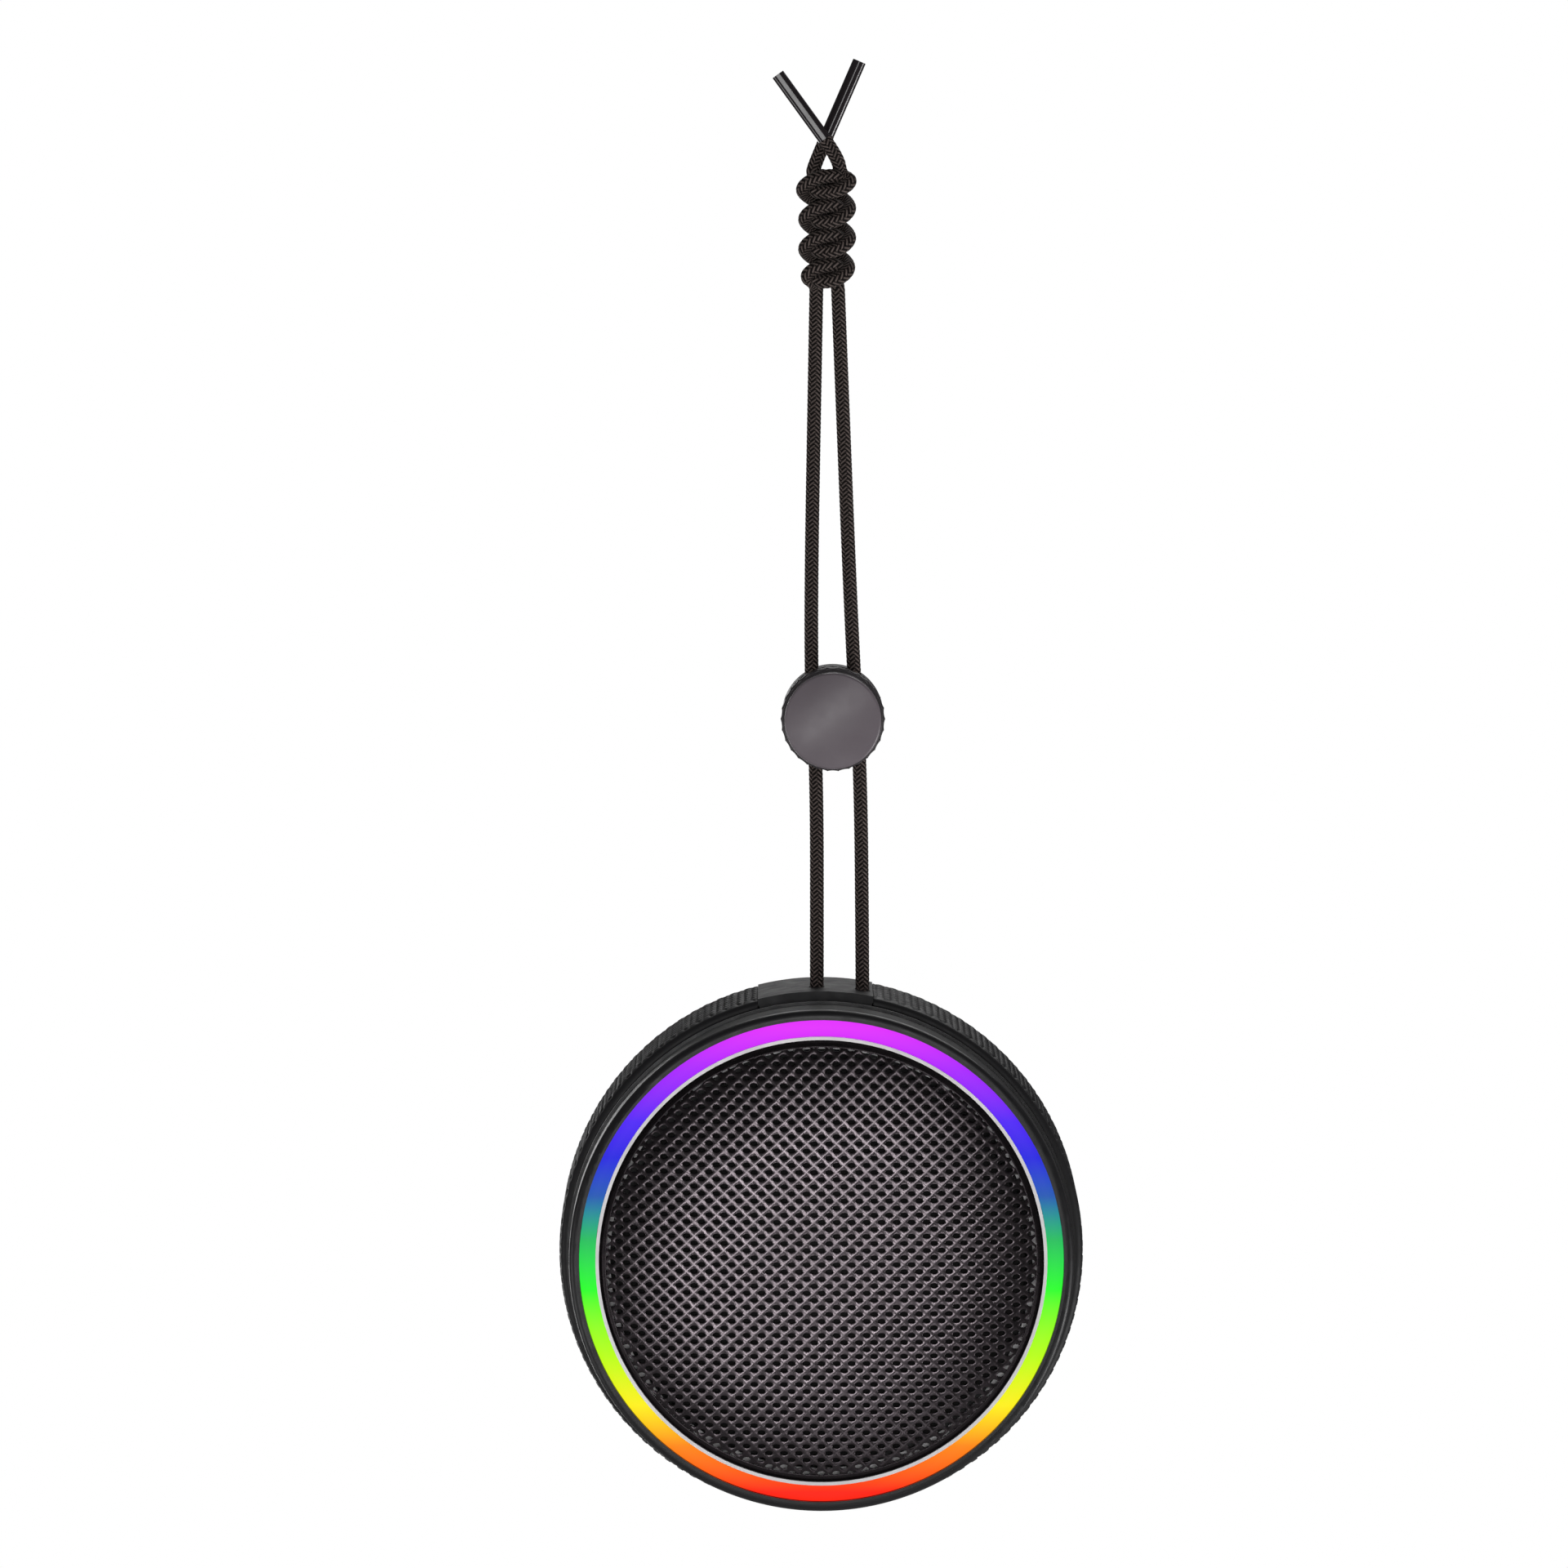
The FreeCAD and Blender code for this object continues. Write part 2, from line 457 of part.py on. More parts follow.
# ---- driver ----
def driver():
    gasket_y = BAFFLE_Y - GASKET_THICK
    flange_y = gasket_y - FLANGE_THICK
    pitch = DRIVER_SCREW_PITCH_R
    holes = [disc(SCREW_R, flange_y - 1, BAFFLE_Y, *around(pitch, a)) for a in DRIVER_SCREW_ANGLES]
    save("driver_gasket", ring(DRIVER_R, BAFFLE_BORE_R, gasket_y, BAFFLE_Y).cut(holes))
    frame = turned(
        (DRIVER_R, flange_y), (DRIVER_OPEN_R, flange_y), (DRIVER_OPEN_R, flange_y + FRAME_SHEET),
        (SPIDER_SEAT_R + 1.6, SPIDER_Y - 0.6), (SPIDER_SEAT_R + 1.6, SPIDER_Y), (SPIDER_SEAT_R, SPIDER_Y),
        (SPIDER_SEAT_R, FRAME_BACK_Y - FRAME_SHEET), (GAP_OUT_R + 1, FRAME_BACK_Y - FRAME_SHEET),
        (GAP_OUT_R + 1, FRAME_BACK_Y), (FRAME_NECK_R, FRAME_BACK_Y), (FRAME_NECK_R, SPIDER_Y - 0.4),
        (DRIVER_OPEN_R + 0.4, gasket_y), (DRIVER_R, gasket_y))
    window_y = (gasket_y + SPIDER_Y) / 2
    windows = [Part.makeCylinder(2.8, 40, Vec(0, window_y, 0), Vec(1, 0, 0)).rotated(
        Vec(0, 0, 0), AXIS_Y, a) for a in (45, 135, 225, 315)]
    frame = frame.cut(holes + windows).removeSplitter()
    save("driver_frame", frame)
    screws = []
    for a in DRIVER_SCREW_ANGLES:
        x, z = around(pitch, a)
        head = disc(SCREW_HEAD_R - 0.2, flange_y - 1.1, flange_y, x, z)
        head = head.cut(disc(0.7, flange_y - 2, flange_y - 0.6, x, z))
        screws.append(head.fuse(disc(SCREW_R - 0.25, flange_y, JOINT_Y, x, z)).removeSplitter())
    save("driver_screws", *screws)

    plate_rear = FRAME_BACK_Y + TOP_PLATE_THICK
    magnet_rear = plate_rear + MAGNET_THICK
    save("magnet_top_plate", ring(TOP_PLATE_R, GAP_OUT_R, FRAME_BACK_Y, plate_rear))
    save("magnet", ring(MAGNET_R, MAGNET_IN_R, plate_rear, magnet_rear))
    pole = disc(POLE_R, FRAME_BACK_Y, magnet_rear)
    save("magnet_yoke", disc(YOKE_R, magnet_rear, magnet_rear + YOKE_THICK).fuse(pole).removeSplitter())

    rim_y = flange_y - 0.1
    slope = (CONE_NECK_Y - rim_y) / (CONE_R - 1.4 - FORMER_R)
    save("cone", turned(
        (CONE_R, rim_y), (CONE_R - 1.4, rim_y), (FORMER_R, CONE_NECK_Y), (FORMER_R, CONE_NECK_Y + 0.6),
        (CONE_R - 1.2, rim_y + CONE_THICK), (CONE_R, rim_y + CONE_THICK)))
    cap_y = CONE_NECK_Y - slope * (DUST_CAP_R - FORMER_R)
    save("dust_cap", dome(DUST_CAP_R, cap_y, DUST_CAP_RISE, 0.4))
    save("voice_coil_former", ring(FORMER_R - GLUE, FORMER_IN_R, CONE_NECK_Y, -1.2))
    save("voice_coil", ring(COIL_R, FORMER_R, -4.6, -1.2))

    lip = 0.5
    roll_in, roll_out = CONE_R + 0.3, DRIVER_OPEN_R
    mid, half = (roll_in + roll_out) / 2, (roll_out - roll_in) / 2
    save("surround", turned(
        (CONE_R - 1.4, rim_y), (CONE_R - 1.4, rim_y - lip), (roll_in - lip, rim_y - lip),
        ((mid, rim_y - half - lip), (roll_out + lip, rim_y - lip)), (DRIVER_OPEN_R + 1.0, rim_y - lip),
        (DRIVER_OPEN_R + 1.0, flange_y), (roll_out, flange_y), (roll_out, rim_y),
        ((mid, rim_y - half), (roll_in, rim_y))))
    top = SPIDER_Y - SPIDER_THICK
    wave = 0.5
    front, rear = [], []
    steps = 6
    for i in range(steps + 1):
        r = COIL_R + (SPIDER_SEAT_R + 1.4 - COIL_R) * i / steps
        lift = wave if i % 2 and i < steps - 1 else 0.0
        front.append((r, top - lift))
        rear.append((r, SPIDER_Y - lift))
    save("spider", turned(*front, *reversed(rear)))
    terminal = block(-26.2, -24.6, gasket_y, -7.5, -3.5, 3.5)
    save("driver_terminal", terminal.cut(turned_solid_frame(flange_y, gasket_y)))


def turned_solid_frame(flange_y, gasket_y):
    """The room inside the driver frame's outer wall."""
    return turned((0, flange_y), (DRIVER_R, flange_y), (DRIVER_R, gasket_y), (DRIVER_OPEN_R + 0.4, gasket_y),
                  (FRAME_NECK_R, SPIDER_Y - 0.4), (FRAME_NECK_R, FRAME_BACK_Y), (0, FRAME_BACK_Y))


# ---- electronics ----
def electronics():
    yoke_rear = FRAME_BACK_Y + TOP_PLATE_THICK + MAGNET_THICK + YOKE_THICK
    battery_y = yoke_rear + BATTERY_PAD_T
    battery_rear = battery_y + BATTERY_T
    half_w, half_h = BATTERY_W / 2, BATTERY_H / 2
    save("battery_pad", block(-9, 9, yoke_rear, battery_y, -9, 9))
    battery = block(-half_w, half_w, battery_y, battery_rear, -half_h, half_h)
    battery = battery.makeFillet(1.8, [e for e in battery.Edges if abs(e.Vertexes[0].Z - e.Vertexes[1].Z) > 1])
    save("battery", battery)

    board = disc(BOARD_R, BOARD_Y, BOARD_REAR_Y)
    holes = [disc(1.0, BOARD_Y - 1, BOARD_REAR_Y + 1, *around(POST_PITCH_R, a)) for a in POST_ANGLES]
    save("main_board", board.cut(holes))
    screws = []
    for a in POST_ANGLES:
        x, z = around(POST_PITCH_R, a)
        head = disc(1.6, BOARD_Y - 0.9, BOARD_Y, x, z).cut(disc(0.55, BOARD_Y - 2, BOARD_Y - 0.4, x, z))
        screws.append(head.fuse(disc(BOARD_SCREW_R, BOARD_Y, COVER_IN_Y, x, z)).removeSplitter())
    save("board_screws", *screws)

    chips = {
        "bluetooth_module": block(-16, -3, BOARD_REAR_Y, BOARD_REAR_Y + 1.9, -17, -8),
        "main_chip": block(4, 11, BOARD_REAR_Y, BOARD_REAR_Y + 1.0, -16, -9),
        "amplifier_chip": block(14, 19, BOARD_REAR_Y, BOARD_REAR_Y + 1.0, -15, -10),
    }
    for name, shape in chips.items():
        save(name, shape)
    small = [disc(2.0, BOARD_REAR_Y, BOARD_REAR_Y + 2.6, x, z) for x, z in ((20, -19), (-20, -19), (0, 20))]
    small += [block(x, x + 2, BOARD_REAR_Y, BOARD_REAR_Y + 0.9, z, z + 1.2)
              for x in (-24, -12, 10, 22) for z in (-6.5, 10.5)]
    save("capacitors", *small)
    save("microphone", disc(2.0, BOARD_REAR_Y, BOARD_REAR_Y + 1.5, 8, 24.5))

    switches = []
    tip_y = BOARD_REAR_Y + SWITCH_BODY
    half = SWITCH_SIDE / 2
    for r, away, angle in BUTTONS.values():
        x, z = around(away, angle)
        body = block(x - half, x + half, BOARD_REAR_Y, tip_y, z - half, z + half)
        switches.append(body.fuse(disc(SWITCH_TIP_R, tip_y, tip_y + SWITCH_TOP, x, z)).removeSplitter())
    save("button_switches", *switches)

    half_w, half_h = PORT_W / 2, PORT_H / 2
    face_y = REAR_Y - FLAP_T - 0.6
    socket = slot_block(half_w, half_h, BOARD_REAR_Y, face_y, PORT_Z)
    inside = slot_block(half_w - SOCKET_WALL, half_h - SOCKET_WALL, face_y - 4.0, face_y + 1, PORT_Z)
    tongue = block(-3.3, 3.3, face_y - 4.0, face_y - 0.6, PORT_Z - 0.35, PORT_Z + 0.35)
    save("usb_socket", socket.cut(inside).fuse(tongue).removeSplitter())
    return battery_y, battery_rear


def buttons():
    tip_y = BOARD_REAR_Y + SWITCH_BODY + SWITCH_TOP + BUTTON_TRAVEL + 0.05
    flange_rear = COVER_IN_Y - 0.05
    flange_front = flange_rear - BUTTON_FLANGE_T
    for name, (r, away, angle) in BUTTONS.items():
        x, z = around(away, angle)
        cap = disc(r, flange_front, REAR_Y + BUTTON_PROUD, x, z)
        rim = [e for e in cap.Edges if e.Length > 4 * r and e.CenterOfMass.y > REAR_Y]
        cap = cap.makeFillet(0.45, rim)
        flange = disc(r + BUTTON_FLANGE, flange_front, flange_rear, x, z)
        stem = disc(1.3, tip_y, flange_front, x, z)
        save(name, cap.multiFuse([flange, stem]).removeSplitter())


def port_cover():
    half_w, half_h = FLAP_W / 2, FLAP_H / 2
    front = REAR_Y - FLAP_T
    hinge_z = PORT_Z + half_h
    plate = block(-half_w, half_w, front, REAR_Y, PORT_Z - half_h, hinge_z)
    barrel = Part.makeCylinder(FLAP_T / 2, FLAP_W, Vec(-half_w, REAR_Y - FLAP_T / 2, hinge_z), AXIS_X)
    plug = slot_block(PORT_W / 2 - 0.5, PORT_H / 2 - 0.3, front - FLAP_PLUG_T, front, PORT_Z)
    grip = block(-3, 3, REAR_Y, REAR_Y + 0.5, PORT_Z - half_h, PORT_Z - half_h + 1.0)
    save("port_cover", plate.multiFuse([barrel, plug, grip]).removeSplitter())


def wires(battery_y, battery_rear):
    """Inner leads, from face to face."""
    plug_y = BOARD_Y - 2.0
    save("board_plugs", block(-26.2, -22, plug_y, BOARD_Y, -3, 3), block(6, 12, plug_y, BOARD_Y, 22.5, 26.5),
         block(23.5, 28.0, plug_y, BOARD_Y, -14.0, -9.0))
    speaker = [tube([(-25.4, -7.5, z), (-25.4, -1.5, z), (-24.4, 5.0, z * 1.2), (-24.4, plug_y, z * 1.2)],
                    0.55, "speaker wire") for z in (-1.4, 1.4)]
    save("speaker_wires", *speaker)
    mid_y = (battery_y + battery_rear) / 2 - 0.8
    top = BATTERY_H / 2
    battery = [tube([(x, mid_y, top), (x, mid_y, 23.2), (x + 0.3, mid_y + 1.2, 24.6), (x + 0.3, plug_y, 24.7)],
                    0.5, "battery wire") for x in (8.0, 9.6)]
    save("battery_wires", *battery)
    x0, z0 = around(LED_WIRE_R, LED_WIRE_ANGLE)
    led = tube([(x0, BAFFLE_Y, z0), (x0, -6.0, z0), (x0 * 0.93, 0.0, z0), (25.8, 5.0, z0 + 1.2),
                (25.8, plug_y, z0 + 1.2)], 0.9, "light ring wire")
    save("light_wires", led)


# ---- cord ----
def cord_turn():
    """The cord's hidden turn round its pin, up to just under the swing line."""
    rise = HANG_TOP - CORD_R - 0.3
    mid_x = (CORD_LEFT_X + CORD_RIGHT_X) / 2
    half = (CORD_RIGHT_X - CORD_LEFT_X) / 2
    left, right = Vec(CORD_LEFT_X, HOLE_Y, TURN_Z), Vec(CORD_RIGHT_X, HOLE_Y, TURN_Z)
    wire = Part.Wire([
        Part.LineSegment(Vec(CORD_LEFT_X, HOLE_Y, rise), left).toShape(),
        Part.Arc(left, Vec(mid_x, HOLE_Y, TURN_Z - half), right).toShape(),
        Part.LineSegment(right, Vec(CORD_RIGHT_X, HOLE_Y, rise)).toShape()])
    section = Part.Wire(Part.makeCircle(CORD_R, Vec(CORD_LEFT_X, HOLE_Y, rise), AXIS_Z))
    save("cord_turn", wire.makePipeShell([section], True, False))


def cord():
    origin = Vec(0, 0, 0)
    for name, route in (("cord_strand_left", STRAND_LEFT), ("cord_strand_right", STRAND_RIGHT)):
        ball = Part.makeSphere(CORD_R, Vec(*route[0]))
        shape = tube(route, CORD_R, name).fuse(ball).removeSplitter()
        save(name, shape, at=origin)
    knots = []
    for i in range(KNOT_COUNT):
        half = (KNOT_W - KNOT_DEEP) / 2
        z = i * KNOT_PITCH
        core = block(-half, half, -KNOT_DEEP / 2, KNOT_DEEP / 2, z, z + KNOT_PITCH)
        ends = [Part.makeCylinder(KNOT_DEEP / 2, KNOT_PITCH, Vec(s * half, 0, z)) for s in (-1, 1)]
        lump = core.multiFuse(ends).removeSplitter()
        rims = [e for e in lump.Edges if abs(e.BoundBox.ZLength) < 1e-6]
        knots.append(lump.makeFillet(KNOT_ROUND, rims))
    save("cord_knots", *knots, at=origin)
    ends = (("cord_end_left", "cord_tip_left", END_FROM_RIGHT), ("cord_end_right", "cord_tip_right", END_FROM_LEFT))
    for end_name, tip_name, route in ends:
        save(end_name, tube(route, CORD_R, end_name), at=origin)
        start = Vec(*route[-1])
        along = (start - Vec(*route[-2])).normalize()
        tip = Part.makeCylinder(TIP_R, TIP_LONG, start, along)
        hollow = Part.makeCylinder(TIP_R - TIP_WALL, TIP_HOLLOW + 1, start + along * (TIP_LONG - TIP_HOLLOW), along)
        save(tip_name, tip.cut(hollow), at=origin)


def cord_lock():
    at = Vec(LOCK_X, 0, LOCK_Z)
    tunnel_y = CORD_R + TUNNEL_CLEAR
    body = disc(LOCK_R, LOCK_FRONT_Y, LOCK_REAR_Y)
    rims = [e for e in body.Edges if e.Length > 6 * LOCK_R]
    body = body.makeFillet(0.6, rims)
    floor_y = LOCK_REAR_Y - 1.2
    tunnel = block(-TUNNEL_HALF_W, TUNNEL_HALF_W, -tunnel_y, tunnel_y, -LOCK_R - 1, LOCK_R + 1)
    body = body.cut([disc(LOCK_BORE_R, LOCK_FRONT_Y - 1, floor_y), tunnel])
    save("lock_body", body, at=at)
    plunger_r = LOCK_BORE_R - LOCK_FIT
    plunger_rear = tunnel_y + 1.3
    cap_rear = LOCK_FRONT_Y - LOCK_TRAVEL - 0.15
    cap_front = cap_rear - CAP_EDGE
    ball_r = (CAP_R ** 2 + CAP_CROWN ** 2) / (2 * CAP_CROWN)
    ball = Part.makeSphere(ball_r, Vec(0, cap_front - CAP_CROWN + ball_r, 0))
    cap = ball.common(disc(CAP_R, cap_front - CAP_CROWN - 1, cap_rear))
    cap = cap.makeFillet(0.5, [e for e in cap.Edges if e.CenterOfMass.y < cap_front + 0.1 and e.Length > CAP_R])
    stem = disc(plunger_r, cap_rear, plunger_rear)
    window = block(-TUNNEL_HALF_W, TUNNEL_HALF_W, -tunnel_y - LOCK_TRAVEL - 0.1, tunnel_y, -LOCK_R, LOCK_R)
    save("lock_button", cap.fuse(stem.cut(window)).removeSplitter(), at=at)
    room = floor_y - plunger_rear
    pitch = (room - 2 * SPRING_WIRE_R) / SPRING_TURNS
    helix = Part.makeHelix(pitch, room - 2 * SPRING_WIRE_R, SPRING_R)
    section = Part.Wire(Part.makeCircle(SPRING_WIRE_R, Vec(SPRING_R, 0, 0), AXIS_Y))
    spring = Part.Wire(helix).makePipeShell([section], True, True)
    spring.rotate(Vec(0, 0, 0), AXIS_X, -90)
    save("lock_spring", spring.translated(Vec(0, plunger_rear + SPRING_WIRE_R, 0)), at=at)


os.makedirs("parts", exist_ok=True)
front_bezel()
main_housing()
tread_and_pad()
rear_cover()
light_and_grille()
led_board()
driver()
buttons()
port_cover()
wires(*electronics())
cord_turn()
cord()
cord_lock()
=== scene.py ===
import math

import bmesh
import bpy
import numpy as np
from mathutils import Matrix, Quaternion, Vector


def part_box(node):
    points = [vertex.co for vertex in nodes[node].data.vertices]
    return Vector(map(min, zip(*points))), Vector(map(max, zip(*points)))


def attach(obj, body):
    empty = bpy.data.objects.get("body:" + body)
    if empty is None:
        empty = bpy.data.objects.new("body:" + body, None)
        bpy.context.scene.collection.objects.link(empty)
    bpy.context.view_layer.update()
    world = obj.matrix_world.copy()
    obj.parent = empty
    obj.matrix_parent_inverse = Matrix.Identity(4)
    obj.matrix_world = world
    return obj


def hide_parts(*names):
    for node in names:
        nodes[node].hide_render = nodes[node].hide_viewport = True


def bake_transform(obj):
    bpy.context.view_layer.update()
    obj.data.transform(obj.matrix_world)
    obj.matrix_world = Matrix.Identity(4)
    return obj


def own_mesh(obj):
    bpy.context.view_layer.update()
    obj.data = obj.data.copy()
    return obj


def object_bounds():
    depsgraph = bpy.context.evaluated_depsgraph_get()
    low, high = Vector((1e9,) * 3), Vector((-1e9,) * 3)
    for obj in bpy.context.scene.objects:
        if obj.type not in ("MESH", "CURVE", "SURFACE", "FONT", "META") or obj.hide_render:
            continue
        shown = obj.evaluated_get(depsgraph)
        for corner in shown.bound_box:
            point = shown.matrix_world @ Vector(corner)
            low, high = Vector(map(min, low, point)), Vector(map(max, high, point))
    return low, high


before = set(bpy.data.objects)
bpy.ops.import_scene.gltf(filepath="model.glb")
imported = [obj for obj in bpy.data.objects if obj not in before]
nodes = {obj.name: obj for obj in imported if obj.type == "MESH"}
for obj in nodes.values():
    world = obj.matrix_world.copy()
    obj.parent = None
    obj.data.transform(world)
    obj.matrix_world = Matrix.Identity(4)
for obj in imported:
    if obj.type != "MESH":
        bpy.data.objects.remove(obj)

cad_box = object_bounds()
MM = 0.001

# ---- places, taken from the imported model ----
bezel_low, bezel_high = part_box("front_bezel")
AXIS_AT = Vector(((bezel_low.x + bezel_high.x) / 2, 0, (bezel_low.z + bezel_high.z) / 2))
ring_low, ring_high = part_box("light_ring")
RING_OUT_R = (ring_high.x - ring_low.x) / 2
grille_low, grille_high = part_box("front_grille")
GRILLE_R = (grille_high.x - grille_low.x) / 2
tread_low, tread_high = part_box("tread_band")
TREAD_R = (tread_high.x - tread_low.x) / 2
pad_low, pad_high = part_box("top_pad")
lock_low, lock_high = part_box("lock_body")
LOCK_AT = (lock_low + lock_high) / 2
LOCK_R = (lock_high.x - lock_low.x) / 2
knots_low, knots_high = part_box("cord_knots")

# ---- camera ----
SENSOR_WIDTH = 36
VIEW_DISTANCE = 1.8
VIEW_ELEVATION = math.radians(4.9)
VIEW_WIDTH = 0.25465
VIEW_AT = Vector((-0.00705, ring_low.y, -0.0798))
VIEW_REACH = 20


def set_camera():
    """A long lens, a little above the speaker."""
    data = bpy.data.cameras.new("camera")
    data.sensor_width = SENSOR_WIDTH
    data.lens = SENSOR_WIDTH * VIEW_DISTANCE / VIEW_WIDTH
    data.clip_end = VIEW_REACH
    camera = bpy.data.objects.new("camera", data)
    bpy.context.scene.collection.objects.link(camera)
    away = Vector((0, -math.cos(VIEW_ELEVATION), math.sin(VIEW_ELEVATION)))
    camera.location = VIEW_AT + away * VIEW_DISTANCE
    camera.rotation_euler = (VIEW_AT - camera.location).to_track_quat("-Z", "Y").to_euler()
    bpy.context.scene.camera = camera


# ---- mesh helpers ----
ROUTE_STEPS = 24


def mesh_piece(name, corners, faces, smooth=True):
    """A piece from an array of corners and a list of faces."""
    mesh = bpy.data.meshes.new(name)
    mesh.from_pydata(corners.tolist(), [], faces)
    mesh.polygons.foreach_set("use_smooth", np.full(len(mesh.polygons), smooth))
    mesh.update()
    piece = bpy.data.objects.new(name, mesh)
    bpy.context.scene.collection.objects.link(piece)
    return piece


def grid_faces(rows, columns, wrap_rows=False, wrap_columns=False, first=0):
    """Four-sided faces between neighbours on a grid of corners, row by row."""
    row = np.arange(rows if wrap_rows else rows - 1)[:, None]
    column = np.arange(columns if wrap_columns else columns - 1)[None, :]
    next_row = (row + 1) % rows
    next_column = (column + 1) % columns
    quads = np.stack([row * columns + column, row * columns + next_column,
                      next_row * columns + next_column, next_row * columns + column], axis=-1)
    return (quads.reshape(-1, 4) + first).tolist()


def tube_faces(rows, columns):
    """The faces of a tube of rings, with a fan to one corner at each end. The two end corners come last."""
    start, end, last = rows * columns, rows * columns + 1, (rows - 1) * columns
    faces = grid_faces(rows, columns, wrap_columns=True)
    faces += [(start, (k + 1) % columns, k) for k in range(columns)]
    return faces + [(end, last + k, last + (k + 1) % columns) for k in range(columns)]


def reworked(piece, change):
    """Puts one change through a piece's mesh."""
    work = bmesh.new()
    work.from_mesh(piece.data)
    change(work)
    work.to_mesh(piece.data)
    work.free()


def merge_doubles(piece, distance):
    """Joins corners that lie on each other."""
    reworked(piece, lambda work: bmesh.ops.remove_doubles(work, verts=work.verts, dist=distance))


def make_outward(piece):
    """Turns the faces of a closed piece to point outwards."""
    reworked(piece, lambda work: bmesh.ops.recalc_face_normals(work, faces=work.faces))


def add_values(piece, name, values):
    """One number for each corner, for the materials to read."""
    layer = piece.data.attributes.new(name, "FLOAT", "POINT")
    layer.data.foreach_set("value", np.asarray(values, float).ravel())


def smooth_line(points):
    """The curve that a route's points pull: a B-spline of second degree from the first to the last of them,
    as an array of places."""
    curve = bpy.data.curves.new("route", "CURVE")
    curve.dimensions = "3D"
    curve.resolution_u = ROUTE_STEPS
    spline = curve.splines.new("NURBS")
    spline.points.add(len(points) - 1)
    for target, point in zip(spline.points, points):
        target.co = (*point, 1)
    spline.order_u = 3
    spline.use_endpoint_u = True
    holder = bpy.data.objects.new("route", curve)
    mesh = bpy.data.meshes.new_from_object(holder)
    line = np.empty(3 * len(mesh.vertices), np.float32)
    mesh.vertices.foreach_get("co", line)
    bpy.data.objects.remove(holder)
    bpy.data.curves.remove(curve)
    bpy.data.meshes.remove(mesh)
    return line.reshape(-1, 3).astype(float)


def even_steps(line, step):
    """The same line, with places an even step apart."""
    run = np.concatenate([[0], np.cumsum(np.linalg.norm(np.diff(line, axis=0), axis=1))])
    at = np.linspace(0, run[-1], int(run[-1] / step) + 1)
    return np.stack([np.interp(at, run, line[:, k]) for k in range(3)], axis=1), at


def side_directions(line):
    """Two directions across the line at each place, carried along it without twisting."""
    along = np.gradient(line, axis=0)
    along /= np.linalg.norm(along, axis=1)[:, None]
    side = np.zeros_like(along)
    last = np.array([0.0, 1.0, 0.0])
    for i, t in enumerate(along):
        last = last - t * last.dot(t)
        last /= np.linalg.norm(last)
        side[i] = last
    return side, np.cross(along, side)


# ---- cord ----
CORD_R = 1.15 * MM
BRAID_STRANDS = 8
BRAID_STITCH = 0.75 * MM
BRAID_PROUD = 0.13 * MM
BRAID_SIDES = 40
BRAID_STEP = 0.12 * MM
KNOT_COUNT = 4
KNOT_PITCH = (knots_high.z - knots_low.z) / KNOT_COUNT
IN_HOLE = 3.5 * MM
STRAIGHT_UNTIL = 0.965

# Each strand's route, as far as the lowest knot, and each end's, from the highest knot
STRAND_LEFT = [(-0.00165, 0, -0.1135), (-0.00165, 0, -0.0788), (-0.00285, 0, -0.0621),
               (-0.00175, 0, 0.0006)]
STRAND_RIGHT = [(0.00585, 0, -0.1135), (0.00555, 0, -0.0788), (0.00425, 0, -0.0621),
                (0.00175, 0, 0.0006)]
END_FROM_RIGHT = [(0.0022, -0.0009, 0.0183), (0.0018, -0.00135, 0.0212), (-0.00045, -0.00135, 0.0243)]
END_FROM_LEFT = [(-0.0025, 0.0009, 0.0183), (-0.0019, 0.00135, 0.0204), (0.0001, 0.00135, 0.025)]

# One strand's way through one knot: across, back, and up as a share of the knot
KNOT_TURN = [(-3.3, 1.0, 0.12), (-3.8, -1.6, 0.38), (-1.9, -2.9, 0.71), (1.2, -2.5, 0.81),
             (2.1, -0.5, 0.66), (1.3, 1.7, 0.58), (-0.9, 2.4, 0.78)]
TOP_KNOT_GROWS = 1.10
LOW_KNOT_SHRINKS = 0.96


def knot_route(left):
    """The left strand's humps go over from the left, and the right strand's are the same turned half round.
    A strand comes straight into the lowest knot and goes straight out of the highest."""
    points = []
    for i in range(KNOT_COUNT):
        turn = KNOT_TURN if left else [(-x, y, 1 - z) for x, y, z in reversed(KNOT_TURN)]
        grow = {0: LOW_KNOT_SHRINKS, KNOT_COUNT - 1: TOP_KNOT_GROWS}.get(i, 1.0)
        points += [(x * MM * grow, y * MM, (i + z) * KNOT_PITCH) for x, y, z in turn]
    return points[1:] if left else points[:-1]


def strand_route(strand):
    """The strand's route with one more place on its last straight run, which keeps it straight up to the
    knot."""
    a, b = Vector(strand[-2]), Vector(strand[-1])
    return strand[:-1] + [tuple(a.lerp(b, STRAIGHT_UNTIL)), strand[-1]]


